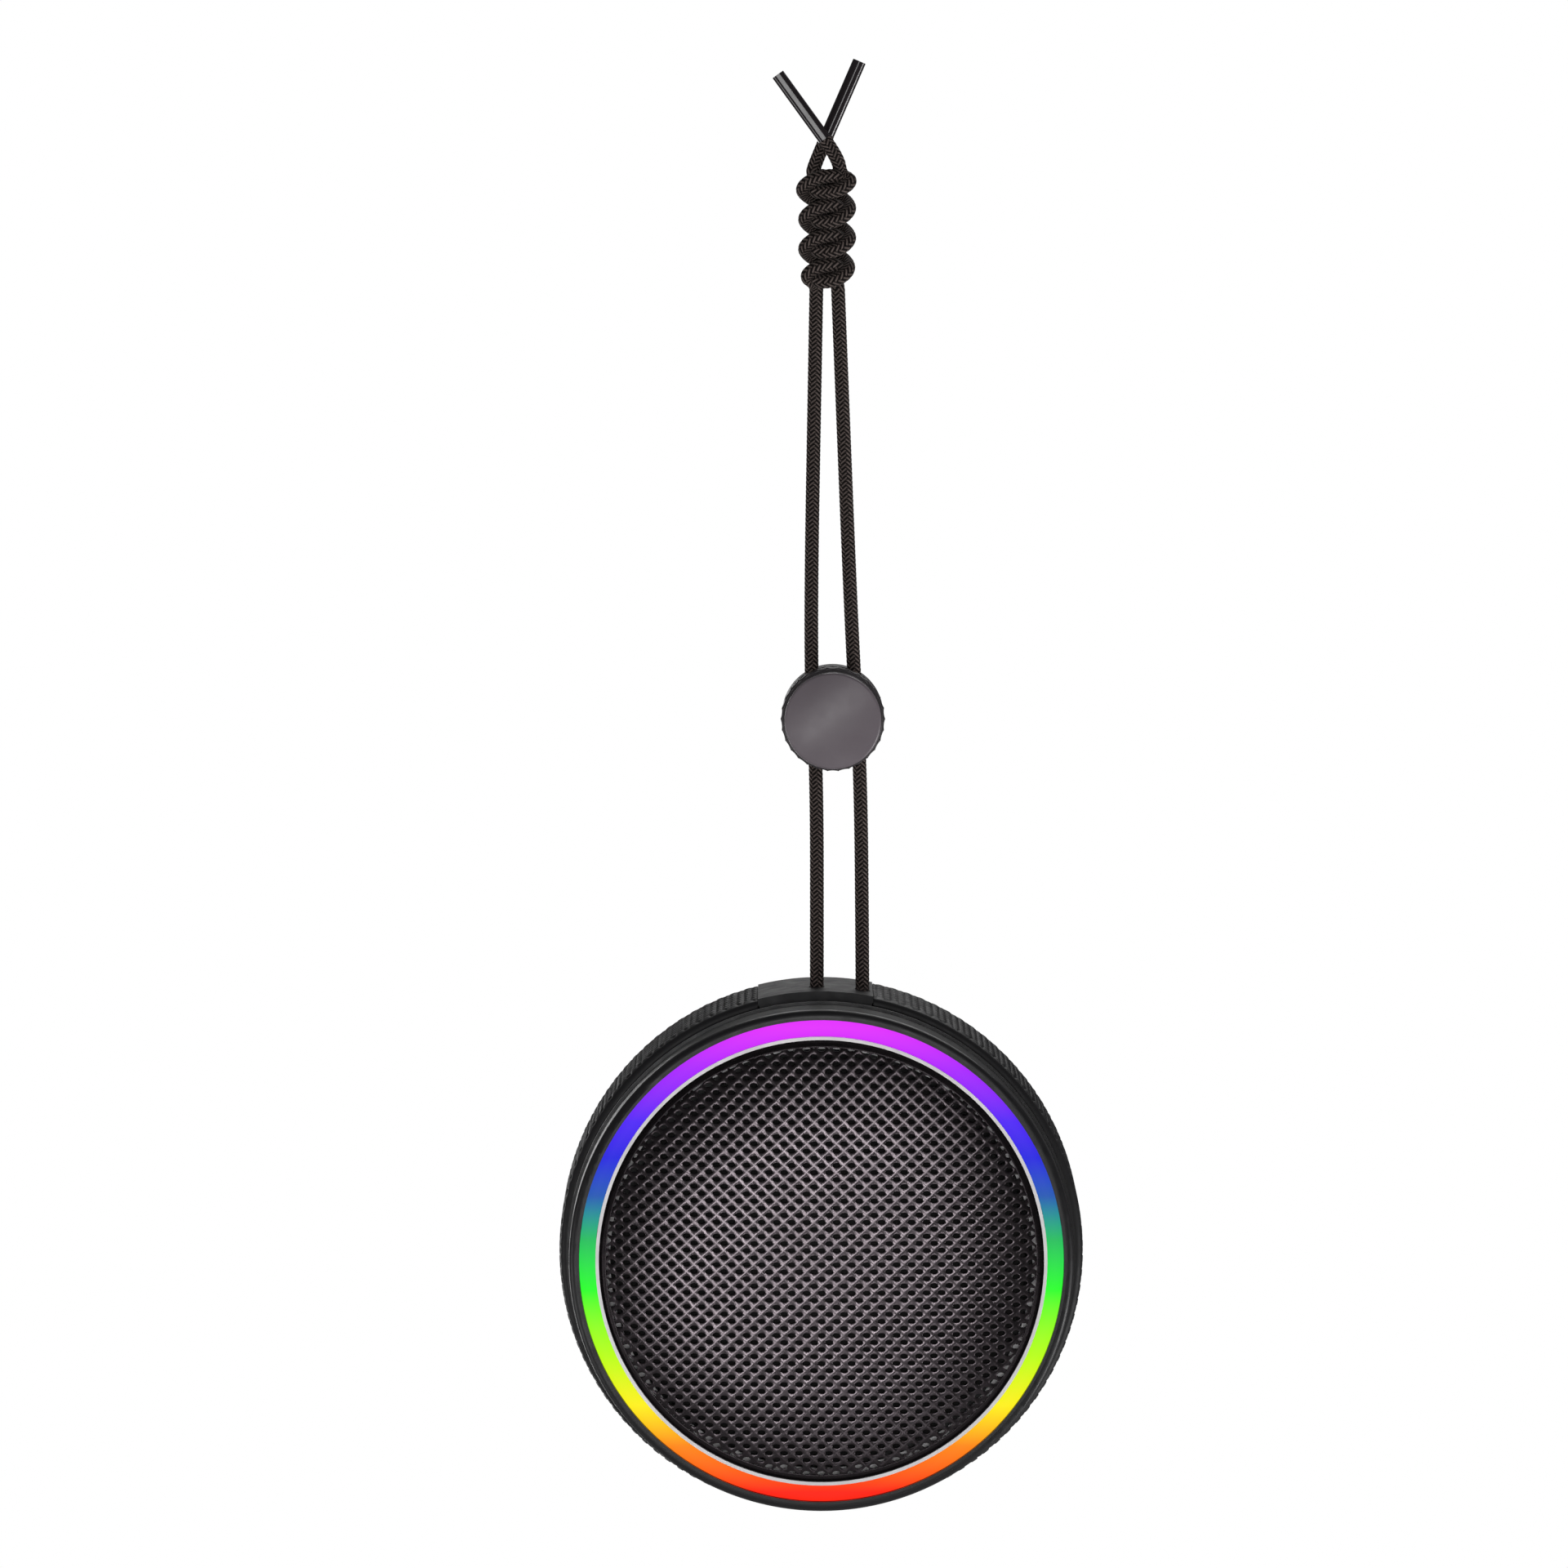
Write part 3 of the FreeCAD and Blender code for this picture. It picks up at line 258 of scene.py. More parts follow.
def braided_cord(name, route):
    """A round cord of braided yarns along a line. The yarns wind both ways and cross over and under in
    columns, so the radius swells by the height of the yarn on top."""
    line, run = even_steps(smooth_line(route), BRAID_STEP)
    side, up = side_directions(line)
    turn = np.arange(BRAID_SIDES) / BRAID_SIDES
    one_way = BRAID_STRANDS * turn[None, :] + run[:, None] / BRAID_STITCH
    other_way = BRAID_STRANDS * turn[None, :] - run[:, None] / BRAID_STITCH
    first_on_top = np.mod(np.floor(one_way) + np.floor(other_way), 4) < 2
    across = np.where(first_on_top, np.mod(one_way, 1), np.mod(other_way, 1))
    crown = np.sqrt(np.clip(1 - (2 * across - 1) ** 2, 0, 1))
    radius = CORD_R - BRAID_PROUD + BRAID_PROUD * crown
    angle = 2 * math.pi * turn[None, :, None]
    spoke = side[:, None, :] * np.cos(angle) + up[:, None, :] * np.sin(angle)
    rings = line[:, None, :] + spoke * radius[..., None]
    rows, columns = radius.shape
    corners = np.vstack([rings.reshape(-1, 3), line[:1], line[-1:]])
    piece = mesh_piece(name, corners, [face[::-1] for face in tube_faces(rows, columns)])
    add_values(piece, "crown", np.concatenate([crown.ravel(), [0, 0]]))
    return piece, line, round(float(run[-1]), 3)


def make_cords():
    """The two cords: each comes out of its hole, goes up as a strand, through the knots and out as an end."""
    made = []
    for name, strand, left, end, tip, node_names in (
            ("braided_cord_left", STRAND_LEFT, True, END_FROM_LEFT, "cord_tip_right",
             ("cord_strand_left", "cord_end_right", "cord_knots")),
            ("braided_cord_right", STRAND_RIGHT, False, END_FROM_RIGHT, "cord_tip_left",
             ("cord_strand_right", "cord_end_left"))):
        foot = strand[0]
        below = (foot[0], foot[1], foot[2] - IN_HOLE)
        piece, line, length = braided_cord(name, [below] + strand_route(strand) + knot_route(left) + end)
        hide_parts(*node_names)
        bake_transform(piece)
        made.append(piece)
    return made


# ---- grille ----
HOLE_PITCH = 2.44 * MM
ROW_PITCH = 1.16 * MM
HOLE_LONG = 1.30 * MM
HOLE_TALL = 0.76 * MM
GRILLE_SEAT = 3.0 * MM
GRILLE_RISE = (grille_high.y - grille_low.y) - GRILLE_SEAT
GRILLE_EDGE_Y = grille_low.y + GRILLE_RISE
GRILLE_SHEET = 0.5 * MM
HOLE_LIP = 0.06 * MM
HOLE_CORNERS = 12
EDGE_ROOM = 0.05 * MM
SAME_PLACE = 0.004 * MM
DOME_FLAT = 2.6
DOME_STEEP = 0.75
RIM_WIDE = 0.75 * MM
RIM_PROUD = 0.05 * MM
RIM_LAP = 1.5
RIM_STEPS = 8


def dome_depth(r):
    """How far the grille stands proud at a radius: one less a power of its share of the rim's radius, to
    another power, so it is nearly flat in the middle and steep at its edge."""
    share = np.clip(r / GRILLE_R, 0, 1)
    return GRILLE_RISE * (1 - share ** DOME_FLAT) ** DOME_STEEP


def perforated_grille():
    """A sheet of diamond tiles round oval holes, in rows that shift by half a pitch, laid on a dome. Each
    tile runs from the diamond, to a rounded edge of the hole, through the sheet and out on its back."""
    reach = int(GRILLE_R / ROW_PITCH) + 1
    rows, columns = np.meshgrid(np.arange(-reach, reach + 1), np.arange(-reach // 2, reach // 2 + 1),
                                indexing="ij")
    across = (columns + 0.5 * np.mod(rows, 2)) * HOLE_PITCH
    up = rows * ROW_PITCH
    keep = np.hypot(across, up) < GRILLE_R - RIM_WIDE
    middle = np.stack([across[keep], up[keep]], axis=1)

    angle = 2 * math.pi * np.arange(HOLE_CORNERS) / HOLE_CORNERS
    circle = np.stack([np.cos(angle), np.sin(angle)], axis=1)
    diamond = circle / (np.abs(circle[:, :1]) / (HOLE_PITCH / 2) + np.abs(circle[:, 1:]) / ROW_PITCH)
    hole = circle * np.array([HOLE_LONG / 2, HOLE_TALL / 2])
    lip = circle * np.array([HOLE_LONG / 2 + HOLE_LIP, HOLE_TALL / 2 + HOLE_LIP])
    loops = ((diamond, 0.0), (lip, 0.0), (hole, HOLE_LIP), (hole, GRILLE_SHEET), (diamond, GRILLE_SHEET))

    layers = []
    for outline, depth in loops:
        flat = middle[:, None, :] + outline[None, :, :]
        r = np.linalg.norm(flat, axis=-1)
        flat = flat * np.minimum(1, (GRILLE_R - EDGE_ROOM) / np.maximum(r, 1e-9))[..., None]
        r = np.minimum(r, GRILLE_R - EDGE_ROOM)
        y = GRILLE_EDGE_Y - dome_depth(r) + depth
        layers.append(np.stack([AXIS_AT.x + flat[..., 0], y, AXIS_AT.z + flat[..., 1]], axis=-1))
    corners = np.stack(layers, axis=1).reshape(-1, 3)
    tile = np.array(grid_faces(len(loops), HOLE_CORNERS, wrap_columns=True))
    starts = np.arange(len(middle)) * len(loops) * HOLE_CORNERS
    faces = (starts[:, None, None] + tile[None, :, ::-1]).reshape(-1, 4).tolist()
    piece = mesh_piece("perforated_grille", corners, faces)
    merge_doubles(piece, SAME_PLACE)
    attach(piece, "speaker")
    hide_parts("front_grille")
    return piece


def grille_rim():
    """The sheet's plain border: a smooth band that carries on the dome and turns back into its seat."""
    r = np.linspace(GRILLE_R - RIM_LAP * RIM_WIDE, GRILLE_R, RIM_STEPS)
    front = [(a, GRILLE_EDGE_Y - dome_depth(a) - RIM_PROUD) for a in r]
    rear = [(GRILLE_R, grille_high.y), (GRILLE_R - GRILLE_SHEET, grille_high.y)]
    back = [(a, GRILLE_EDGE_Y - dome_depth(a) + GRILLE_SHEET) for a in r[-2::-1]]
    piece = lathe("grille_rim", (front + rear + back)[::-1], AXIS_AT)
    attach(piece, "speaker")
    return piece


def lathe(name, outline, centre, sides=192, ripple=None):
    """Turns a closed outline of (radius, y) about a line along Y. A ripple adds to the radius by the angle
    and y."""
    outline = np.array(outline)
    angle = 2 * math.pi * np.arange(sides) / sides
    r = np.repeat(outline[None, :, 0], sides, axis=0)
    if ripple is not None:
        r = r + ripple(angle[:, None], outline[None, :, 1])
    x = centre.x + r * np.cos(angle)[:, None]
    z = centre.z + r * np.sin(angle)[:, None]
    y = np.repeat(outline[None, :, 1], sides, axis=0)
    corners = np.stack([x, y, z], axis=-1).reshape(-1, 3)
    faces = grid_faces(sides, len(outline), wrap_rows=True, wrap_columns=True)
    return mesh_piece(name, corners, faces)


def rounded(points, radius, steps=5):
    """A closed outline with its corners rounded: each corner is a parabola tangent to its two sides."""
    out = []
    for i, (x, y) in enumerate(points):
        before = np.subtract(points[i - 1], (x, y))
        after = np.subtract(points[(i + 1) % len(points)], (x, y))
        cut = min(radius, 0.45 * np.linalg.norm(before), 0.45 * np.linalg.norm(after))
        a = before / np.linalg.norm(before) * cut
        b = after / np.linalg.norm(after) * cut
        for t in np.linspace(0, 1, steps):
            out.append((x + a[0] * (1 - t) ** 2 + b[0] * t ** 2, y + a[1] * (1 - t) ** 2 + b[1] * t ** 2))
    return out


# ---- tread ----
TREAD_COUNT = 110
TREAD_LONG = 2.9 * MM
TREAD_DEEP = 0.60 * MM
TREAD_RIM = 1.0 * MM
TREAD_STEPS = 7
TREAD_WALL = 2.0 * MM
TREAD_ROWS = 56
TREAD_ROUND = 0.8 * MM
GROOVE_SHARE = 0.20
RIM_HEIGHT = 0.55
RIM_SLOPE = 0.3 * MM
PAD_ROOM = 0.002


def knurled_tread():
    """A rubber band with raised diamonds: two families of slanting grooves cross on its outside, and it
    stops at each side of the smooth pad."""
    end_right = math.acos((pad_high.x - AXIS_AT.x) / TREAD_R) - PAD_ROOM
    end_left = math.acos((pad_low.x - AXIS_AT.x) / TREAD_R) + PAD_ROOM
    angles = TREAD_COUNT * TREAD_STEPS
    angle = np.linspace(end_left, 2 * math.pi + end_right, angles)
    inner_r = TREAD_R - TREAD_WALL
    across = np.linspace(tread_low.y, tread_high.y, TREAD_ROWS)
    a = TREAD_COUNT * angle[:, None] / (2 * math.pi)
    b = (across[None, :] - tread_low.y) / TREAD_LONG
    from_groove = np.minimum(np.abs(np.mod(a + b, 1) - 0.5), np.abs(np.mod(a - b, 1) - 0.5))
    height = np.clip(from_groove / GROOVE_SHARE, 0, 1)
    height = height * height * (3 - 2 * height)
    to_edge = np.minimum(across - tread_low.y, tread_high.y - across)
    on_rim = np.clip(1 - (to_edge - TREAD_RIM) / RIM_SLOPE, 0, 1)[None, :]
    shoulder = np.sqrt(np.clip(1 - (1 - np.clip(to_edge / TREAD_ROUND, 0, 1)) ** 2, 0, 1)) - 1
    height = np.maximum(height * (1 - on_rim), RIM_HEIGHT * on_rim)
    outer_r = TREAD_R - TREAD_DEEP + TREAD_DEEP * height + TREAD_ROUND * shoulder[None, :]
    r = np.concatenate([outer_r, np.full((angles, 2), inner_r)], axis=1)
    y = np.concatenate([across, [across[-1], across[0]]])
    x = AXIS_AT.x + r * np.cos(angle)[:, None]
    z = AXIS_AT.z + r * np.sin(angle)[:, None]
    corners = np.stack([x, np.broadcast_to(y, r.shape), z], axis=-1).reshape(-1, 3)
    columns = r.shape[1]
    faces = grid_faces(angles, columns, wrap_columns=True)
    faces.append(list(range(columns))[::-1])
    faces.append([(angles - 1) * columns + k for k in range(columns)])
    piece = mesh_piece("knurled_tread", corners, faces)
    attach(piece, "speaker")
    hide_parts("tread_band")
    return piece


# ---- cord lock ----
GRIP_FACETS = 30
GRIP_DEEP = 0.16 * MM
GRIP_POINTED = 0.7
GRIP_FROM_FRONT = 0.15 * MM
GRIP_LONG = 3.0 * MM
GRIP_SUNK = 0.5 * MM
GRIP_PROUD = 0.22 * MM
GRIP_ROUND = 0.35 * MM


def lock_grip():
    """A ring of ridges round the front of the lock: its radius dips by a power of a sine between ridges."""
    def ripple(angle, y):
        return -GRIP_DEEP * np.abs(np.sin(GRIP_FACETS * angle / 2)) ** GRIP_POINTED * np.ones_like(y)
    front = lock_low.y + GRIP_FROM_FRONT
    rear = front + GRIP_LONG
    inner, outer = LOCK_R - GRIP_SUNK, LOCK_R + GRIP_PROUD
    outline = rounded([(inner, front), (inner, rear), (outer, rear), (outer, front)], GRIP_ROUND)
    piece = lathe("lock_grip_ring", outline, LOCK_AT, sides=GRIP_FACETS * 12, ripple=ripple)
    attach(piece, "cord_lock")
    return piece


SPRING_WIRE_R = 0.3 * MM
SPRING_TURNS = 3
SPRING_NEST = 0.68 * MM
SPRING_STEPS = 40


def lock_spring():
    """A cone spring: a round wire along a helix whose radius grows by more than the wire each turn, so that
    the turns lie inside one another when the cap is pressed."""
    low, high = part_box("lock_spring")
    t = np.linspace(0, 1, SPRING_TURNS * SPRING_STEPS + 1)
    angle = 2 * math.pi * SPRING_TURNS * t
    helix_r = (high.x - low.x) / 2 - SPRING_WIRE_R - SPRING_NEST * SPRING_TURNS * (1 - t)
    y = low.y + SPRING_WIRE_R + t * (high.y - low.y - 2 * SPRING_WIRE_R)
    out = np.stack([np.cos(angle), np.zeros_like(t), np.sin(angle)], axis=1)
    line = np.stack([LOCK_AT.x + helix_r * out[:, 0], y, LOCK_AT.z + helix_r * out[:, 2]], axis=1)
    piece = round_wire("lock_spring_wire", line, out, SPRING_WIRE_R)
    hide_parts("lock_spring")
    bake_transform(piece)
    return piece


def round_wire(name, line, out, wire_r, sides=12):
    """A round wire along a line, from the line's outward direction at each place and the one along Y."""
    angle = 2 * math.pi * np.arange(sides) / sides
    along_y = np.array([0, 1, 0])
    across = out[:, None, :] * np.cos(angle)[None, :, None] + along_y * np.sin(angle)[None, :, None]
    rings = line[:, None, :] + wire_r * across
    corners = np.vstack([rings.reshape(-1, 3), line[:1], line[-1:]])
    piece = mesh_piece(name, corners, tube_faces(len(line), sides))
    make_outward(piece)
    return piece


SURROUND_SHEET = 0.5 * MM
SURROUND_LAP = 1.0 * MM
SURROUND_GLUE = 1.4 * MM
SURROUND_ROOM = 0.3 * MM
SURROUND_KEEP = 0.60
ROLL_STEPS = 19
SPIDER_WAVES = 6
SPIDER_WAVE_STEPS = 8
SPIDER_SHEET = 0.4 * MM
SPIDER_WAVED_SHARE = 0.83
SPIDER_KEEP = 0.55


def flexing_rings():
    """The driver's surround, half a circle in section, and its spider, a sheet in cosine waves."""
    low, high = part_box("surround")
    cone_low, cone_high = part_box("cone")
    cone_r = (cone_high.x - cone_low.x) / 2
    outer = (high.x - low.x) / 2
    roll_in, roll_out = cone_r + SURROUND_ROOM, outer - SURROUND_LAP
    middle, half = (roll_in + roll_out) / 2, (roll_out - roll_in) / 2
    rim = cone_low.y
    turn = np.linspace(math.pi, 0, ROLL_STEPS)

    def roll(radius, y):
        return [(middle + radius * math.cos(a), y - half * math.sin(a)) for a in turn]
    outline = [(cone_r - SURROUND_GLUE, rim), (cone_r - SURROUND_GLUE, rim - SURROUND_SHEET)]
    outline += roll(half + SURROUND_SHEET, rim - SURROUND_SHEET)
    outline += [(outer, rim - SURROUND_SHEET), (outer, high.y), (roll_out, high.y)] + roll(half, rim)[::-1]
    surround = lathe("surround_roll", outline[::-1], AXIS_AT, sides=128)

    spider_low, spider_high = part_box("spider")
    coil_low, coil_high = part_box("voice_coil")
    coil_r, seat_r = (coil_high.x - coil_low.x) / 2, (spider_high.x - spider_low.x) / 2
    lift = spider_high.y - spider_low.y - SPIDER_SHEET
    r = np.linspace(coil_r, seat_r, SPIDER_WAVES * SPIDER_WAVE_STEPS + 1)
    share = (r - coil_r) / (seat_r - coil_r)
    turns = 2 * math.pi * (SPIDER_WAVES / 2) * np.clip(share / SPIDER_WAVED_SHARE, 0, 1)
    waves = lift * 0.5 * (1 - np.cos(turns))
    rear = list(zip(r, spider_high.y - waves))
    front = list(zip(r, spider_high.y - SPIDER_SHEET - waves))
    spider = lathe("spider_waves", (front + rear[::-1])[::-1], AXIS_AT, sides=96)
    for piece, node, slot, front_y, keep in (
            (surround, "surround", "surround_rubber", low.y, SURROUND_KEEP),
            (spider, "spider", "spider_cloth", spider_low.y, SPIDER_KEEP)):
        make_outward(piece)
        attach(piece, "speaker")
        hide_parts(node)
        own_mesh(piece)
    return surround, spider


# ---- marks on the buttons ----
MARK_PROUD = 0.16 * MM
MARK_SUNK = 0.3 * MM
MARK_BEVEL = 0.05 * MM
MARK_LINE = 0.42 * MM
CROSS_LONG = 3.2 * MM
CROSS_APART = 0.005 * MM
PLAY_R = 2.3 * MM
PLAY_ROUND = 0.5 * MM
POWER_R = 1.55 * MM
POWER_BARS = 11
POWER_START = 125
POWER_STEP = 29
SUN_R = 0.75 * MM
RAY_R = 1.75 * MM
RAY_LONG = 0.9 * MM
RAYS = 8


def bar(centre, y, long, wide, turn=0.0):
    """A raised bar with rounded ends, as corners and faces to be joined with others."""
    half = long / 2 - wide / 2
    angle = np.linspace(-math.pi / 2, math.pi / 2, 7)
    right = np.stack([half + wide / 2 * np.cos(angle), wide / 2 * np.sin(angle)], axis=1)
    loop = np.vstack([right, -right])
    c, s = math.cos(turn), math.sin(turn)
    loop = loop @ np.array([[c, s], [-s, c]])
    return prism(loop, centre, y)


def prism(loop, centre, y):
    """A flat raised shape: its outline at the surface, and a little smaller at the top."""
    n = len(loop)
    inset = loop * (1 - MARK_BEVEL / np.linalg.norm(loop, axis=1).mean())
    levels = ((loop, y - MARK_SUNK), (loop, y + MARK_PROUD * 0.6), (inset, y + MARK_PROUD))
    corners = np.vstack([np.column_stack([centre.x + lv[:, 0], np.full(n, h), centre.z + lv[:, 1]])
                         for lv, h in levels])
    faces = grid_faces(3, n, wrap_columns=True)
    return corners, faces + [list(range(n))[::-1], [2 * n + k for k in range(n)]]


def at_angle(centre, radius, t):
    """The place at a radius from the centre and an angle round it, in the plane of the buttons."""
    return centre + Vector((radius * math.cos(t), 0, radius * math.sin(t)))


def joined(name, shapes, body):
    """One piece from several shapes, each its corners and faces."""
    corners = np.vstack([c for c, _ in shapes])
    faces, first = [], 0
    for c, f in shapes:
        faces += [[first + k for k in face] for face in f]
        first += len(c)
    piece = mesh_piece(name, corners, faces, smooth=False)
    make_outward(piece)
    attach(piece, body)
    return piece


def button_marks():
    """Plain raised signs: play, plus, minus, power and light."""
    made = []
    for node in ("play_button", "volume_up_button", "volume_down_button", "power_button", "light_button"):
        low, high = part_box(node)
        centre, top = (low + high) / 2, high.y
        if node == "play_button":
            turns = (0, 2 * math.pi / 3, 4 * math.pi / 3)
            corner = [(-PLAY_R * math.cos(t), PLAY_R * math.sin(t)) for t in turns]
            shapes = [prism(np.array(rounded(corner, PLAY_ROUND, 4)), centre, top)]
        elif node == "power_button":
            shapes = [bar(centre + Vector((0, 0, 0.9 * MM)), top, 1.9 * MM, MARK_LINE, math.pi / 2)]
            for k in range(POWER_BARS):
                t = math.radians(POWER_START + k * POWER_STEP)
                shapes.append(bar(at_angle(centre, POWER_R, t), top, 1.0 * MM, MARK_LINE, t + math.pi / 2))
        elif node == "light_button":
            angle = np.linspace(0, 2 * math.pi, 24, endpoint=False)
            shapes = [prism(SUN_R * np.stack([np.cos(angle), np.sin(angle)], axis=1), centre, top)]
            for k in range(RAYS):
                t = 2 * math.pi * k / RAYS
                shapes.append(bar(at_angle(centre, RAY_R, t), top, RAY_LONG, MARK_LINE, t))
        else:
            shapes = [bar(centre, top, CROSS_LONG, MARK_LINE)]
            if node == "volume_up_button":
                shapes.append(bar(centre, top + CROSS_APART, CROSS_LONG, MARK_LINE, math.pi / 2))
        made.append(joined(node + "_mark", shapes, node + "_cap"))
    return made


# ---- materials ----
# Sockets of a Mix node that mixes colours
MIX_A, MIX_B, MIX_RESULT = 6, 7, 2
# Most of a noise lies between these
NOISE_LOW, NOISE_HIGH = 0.3, 0.7


class Finish:
    """A material with its own nodes, built step by step."""

    def __init__(self, name, colour, rough, metal=0.0):
        self.material = bpy.data.materials.new(name)
        self.material.use_nodes = True
        self.tree = self.material.node_tree
        self.shader = self.tree.nodes["Principled BSDF"]
        self.shader.inputs["Base Color"].default_value = (*colour, 1)
        self.shader.inputs["Roughness"].default_value = rough
        self.shader.inputs["Metallic"].default_value = metal
        self.where = self.add("ShaderNodeTexCoord").outputs["Object"]

    def add(self, kind, **settings):
        """A node. Each setting is one of its properties, or else one of its inputs, with _ for a space."""
        node = self.tree.nodes.new(kind)
        for key, value in settings.items():
            if hasattr(node, key):
                setattr(node, key, value)
            else:
                node.inputs[key.replace("_", " ")].default_value = value
        return node

    def link(self, a, b):
        self.tree.links.new(a, b)

    def noise(self, per_metre, detail=4.0, stretch=(1, 1, 1)):
        """Noise at a scale, drawn out along the piece's axes by the stretch."""
        mapping = self.add("ShaderNodeMapping", Scale=stretch)
        self.link(self.where, mapping.inputs["Vector"])
        texture = self.add("ShaderNodeTexNoise", Scale=per_metre, Detail=detail)
        self.link(mapping.outputs["Vector"], texture.inputs["Vector"])
        return texture.outputs["Fac"]

    def ramp(self, value, stops):
        """The colour at a value, from stops of (place, colour)."""
        node = self.add("ShaderNodeValToRGB")
        while len(node.color_ramp.elements) < len(stops):
            node.color_ramp.elements.new(1.0)
        for element, (place, colour) in zip(node.color_ramp.elements, stops):
            element.position = place
            element.color = (*colour, 1)
        self.link(value, node.inputs["Fac"])
        return node.outputs["Color"]

    def spread(self, value, low, high):
        """A noise spread over a range of numbers."""
        node = self.add("ShaderNodeMapRange", From_Min=NOISE_LOW, From_Max=NOISE_HIGH, To_Min=low,
                        To_Max=high)
        self.link(value, node.inputs["Value"])
        return node.outputs["Result"]

    def multiply(self, a, b, share=1.0):
        """One colour times another, as far as the share."""
        node = self.add("ShaderNodeMix", data_type="RGBA", blend_type="MULTIPLY")
        node.inputs["Factor"].default_value = share
        self.link(a, node.inputs[MIX_A])
        self.link(b, node.inputs[MIX_B])
        return node.outputs[MIX_RESULT]

    def bump(self, value, depth, strength):
        """Fine relief, as deep as the depth where the value is 1."""
        node = self.add("ShaderNodeBump", Strength=strength, Distance=depth)
        self.link(value, node.inputs["Height"])
        self.link(node.outputs["Normal"], self.shader.inputs["Normal"])


def shade(colour, by):
    """A colour made lighter or darker."""
    return tuple(min(1.0, c * by) for c in colour)


def moulded(name, colour, rough, grain=9000, depth=0.00002, metal=0.0, vary=0.18, rough_by=0.08,
            specular=0.5):
    """Moulded plastic, rubber or plain metal: fine grain, soft uneven tone and uneven gloss."""
    made = Finish(name, colour, rough, metal)
    tone = made.noise(90, 5)
    base = made.ramp(tone, [(0.25, shade(colour, 1 - vary)), (0.75, shade(colour, 1 + vary))])
    made.link(base, made.shader.inputs["Base Color"])
    gloss = made.spread(made.noise(420, 6), rough - rough_by, rough + rough_by)
    made.link(gloss, made.shader.inputs["Roughness"])
    made.bump(made.noise(grain, 3), depth, 0.6)
    made.shader.inputs["Specular IOR Level"].default_value = specular
    return made.material


def brushed(name, colour, rough, stretch):
    """Metal with fine lines drawn one way."""
    made = Finish(name, colour, rough, 1.0)
    lines = made.noise(900, 4, stretch)
    made.link(made.ramp(lines, [(0.3, shade(colour, 0.82)), (0.7, shade(colour, 1.12))]),
              made.shader.inputs["Base Color"])
    made.link(made.spread(lines, rough - 0.07, rough + 0.09), made.shader.inputs["Roughness"])
    made.bump(lines, 0.00001, 0.5)
    return made.material


def braid_finish():
    """Matt black yarn with fine fibres, with painted shade between the yarns and a painted brownish highlight
    on their crowns.
    """
    made = Finish("cord_braid_yarn", (0.03, 0.025, 0.023), 0.8)
    crown = made.add("ShaderNodeAttribute", attribute_name="crown").outputs["Fac"]
    # Painted shade and highlight: nearly black where the yarns dip between each other, a lighter brown on
    # their crowns.
    base = made.ramp(crown, [(0.0, (0.001, 0.0008, 0.0008)), (0.72, (0.004, 0.003, 0.0028)),
                             (0.92, (0.085, 0.066, 0.060)), (1.0, (0.21, 0.168, 0.155))])
    patch = made.ramp(made.noise(1500, 4), [(0.3, (0.55, 0.55, 0.55)), (0.7, (1.0, 1.0, 1.0))])
    made.link(made.multiply(base, patch, 0.6), made.shader.inputs["Base Color"])
    made.bump(made.noise(14000, 2), 0.00003, 0.7)
    made.shader.inputs["Sheen Weight"].default_value = 0.04
    made.shader.inputs["Specular IOR Level"].default_value = 0.12
    made.shader.inputs["Sheen Roughness"].default_value = 0.4
    return made.material


def light_finish():
    """The frosted light guide: lit from magenta at the top, through blue, green and yellow, to red."""
    made = Finish("light_ring_lit", (0.01, 0.01, 0.01), 0.6)
    split = made.add("ShaderNodeSeparateXYZ")
    made.link(made.where, split.inputs["Vector"])
    height = made.add("ShaderNodeMapRange", From_Min=AXIS_AT.z - RING_OUT_R, From_Max=AXIS_AT.z + RING_OUT_R)
    made.link(split.outputs["Z"], height.inputs["Value"])
    stops = [
        (0.02, (1.0, 0.020, 0.007)), (0.115, (1.0, 0.25, 0.010)), (0.20, (1.0, 0.88, 0.013)),
        (0.30, (0.50, 1.0, 0.010)), (0.44, (0.030, 1.0, 0.030)), (0.545, (0.026, 0.52, 0.12)),
        (0.635, (0.026, 0.11, 0.46)), (0.715, (0.028, 0.027, 0.76)), (0.79, (0.09, 0.026, 0.93)),
        (0.90, (0.42, 0.026, 1.0)), (0.985, (0.78, 0.036, 1.0))]
    colour = made.ramp(height.outputs["Result"], stops)
    made.link(colour, made.shader.inputs["Emission Color"])
    made.shader.inputs["Emission Strength"].default_value = 1.0
    made.shader.inputs["Specular IOR Level"].default_value = 0.08
    made.bump(made.noise(5000, 3), 0.00001, 0.4)
    return made.material


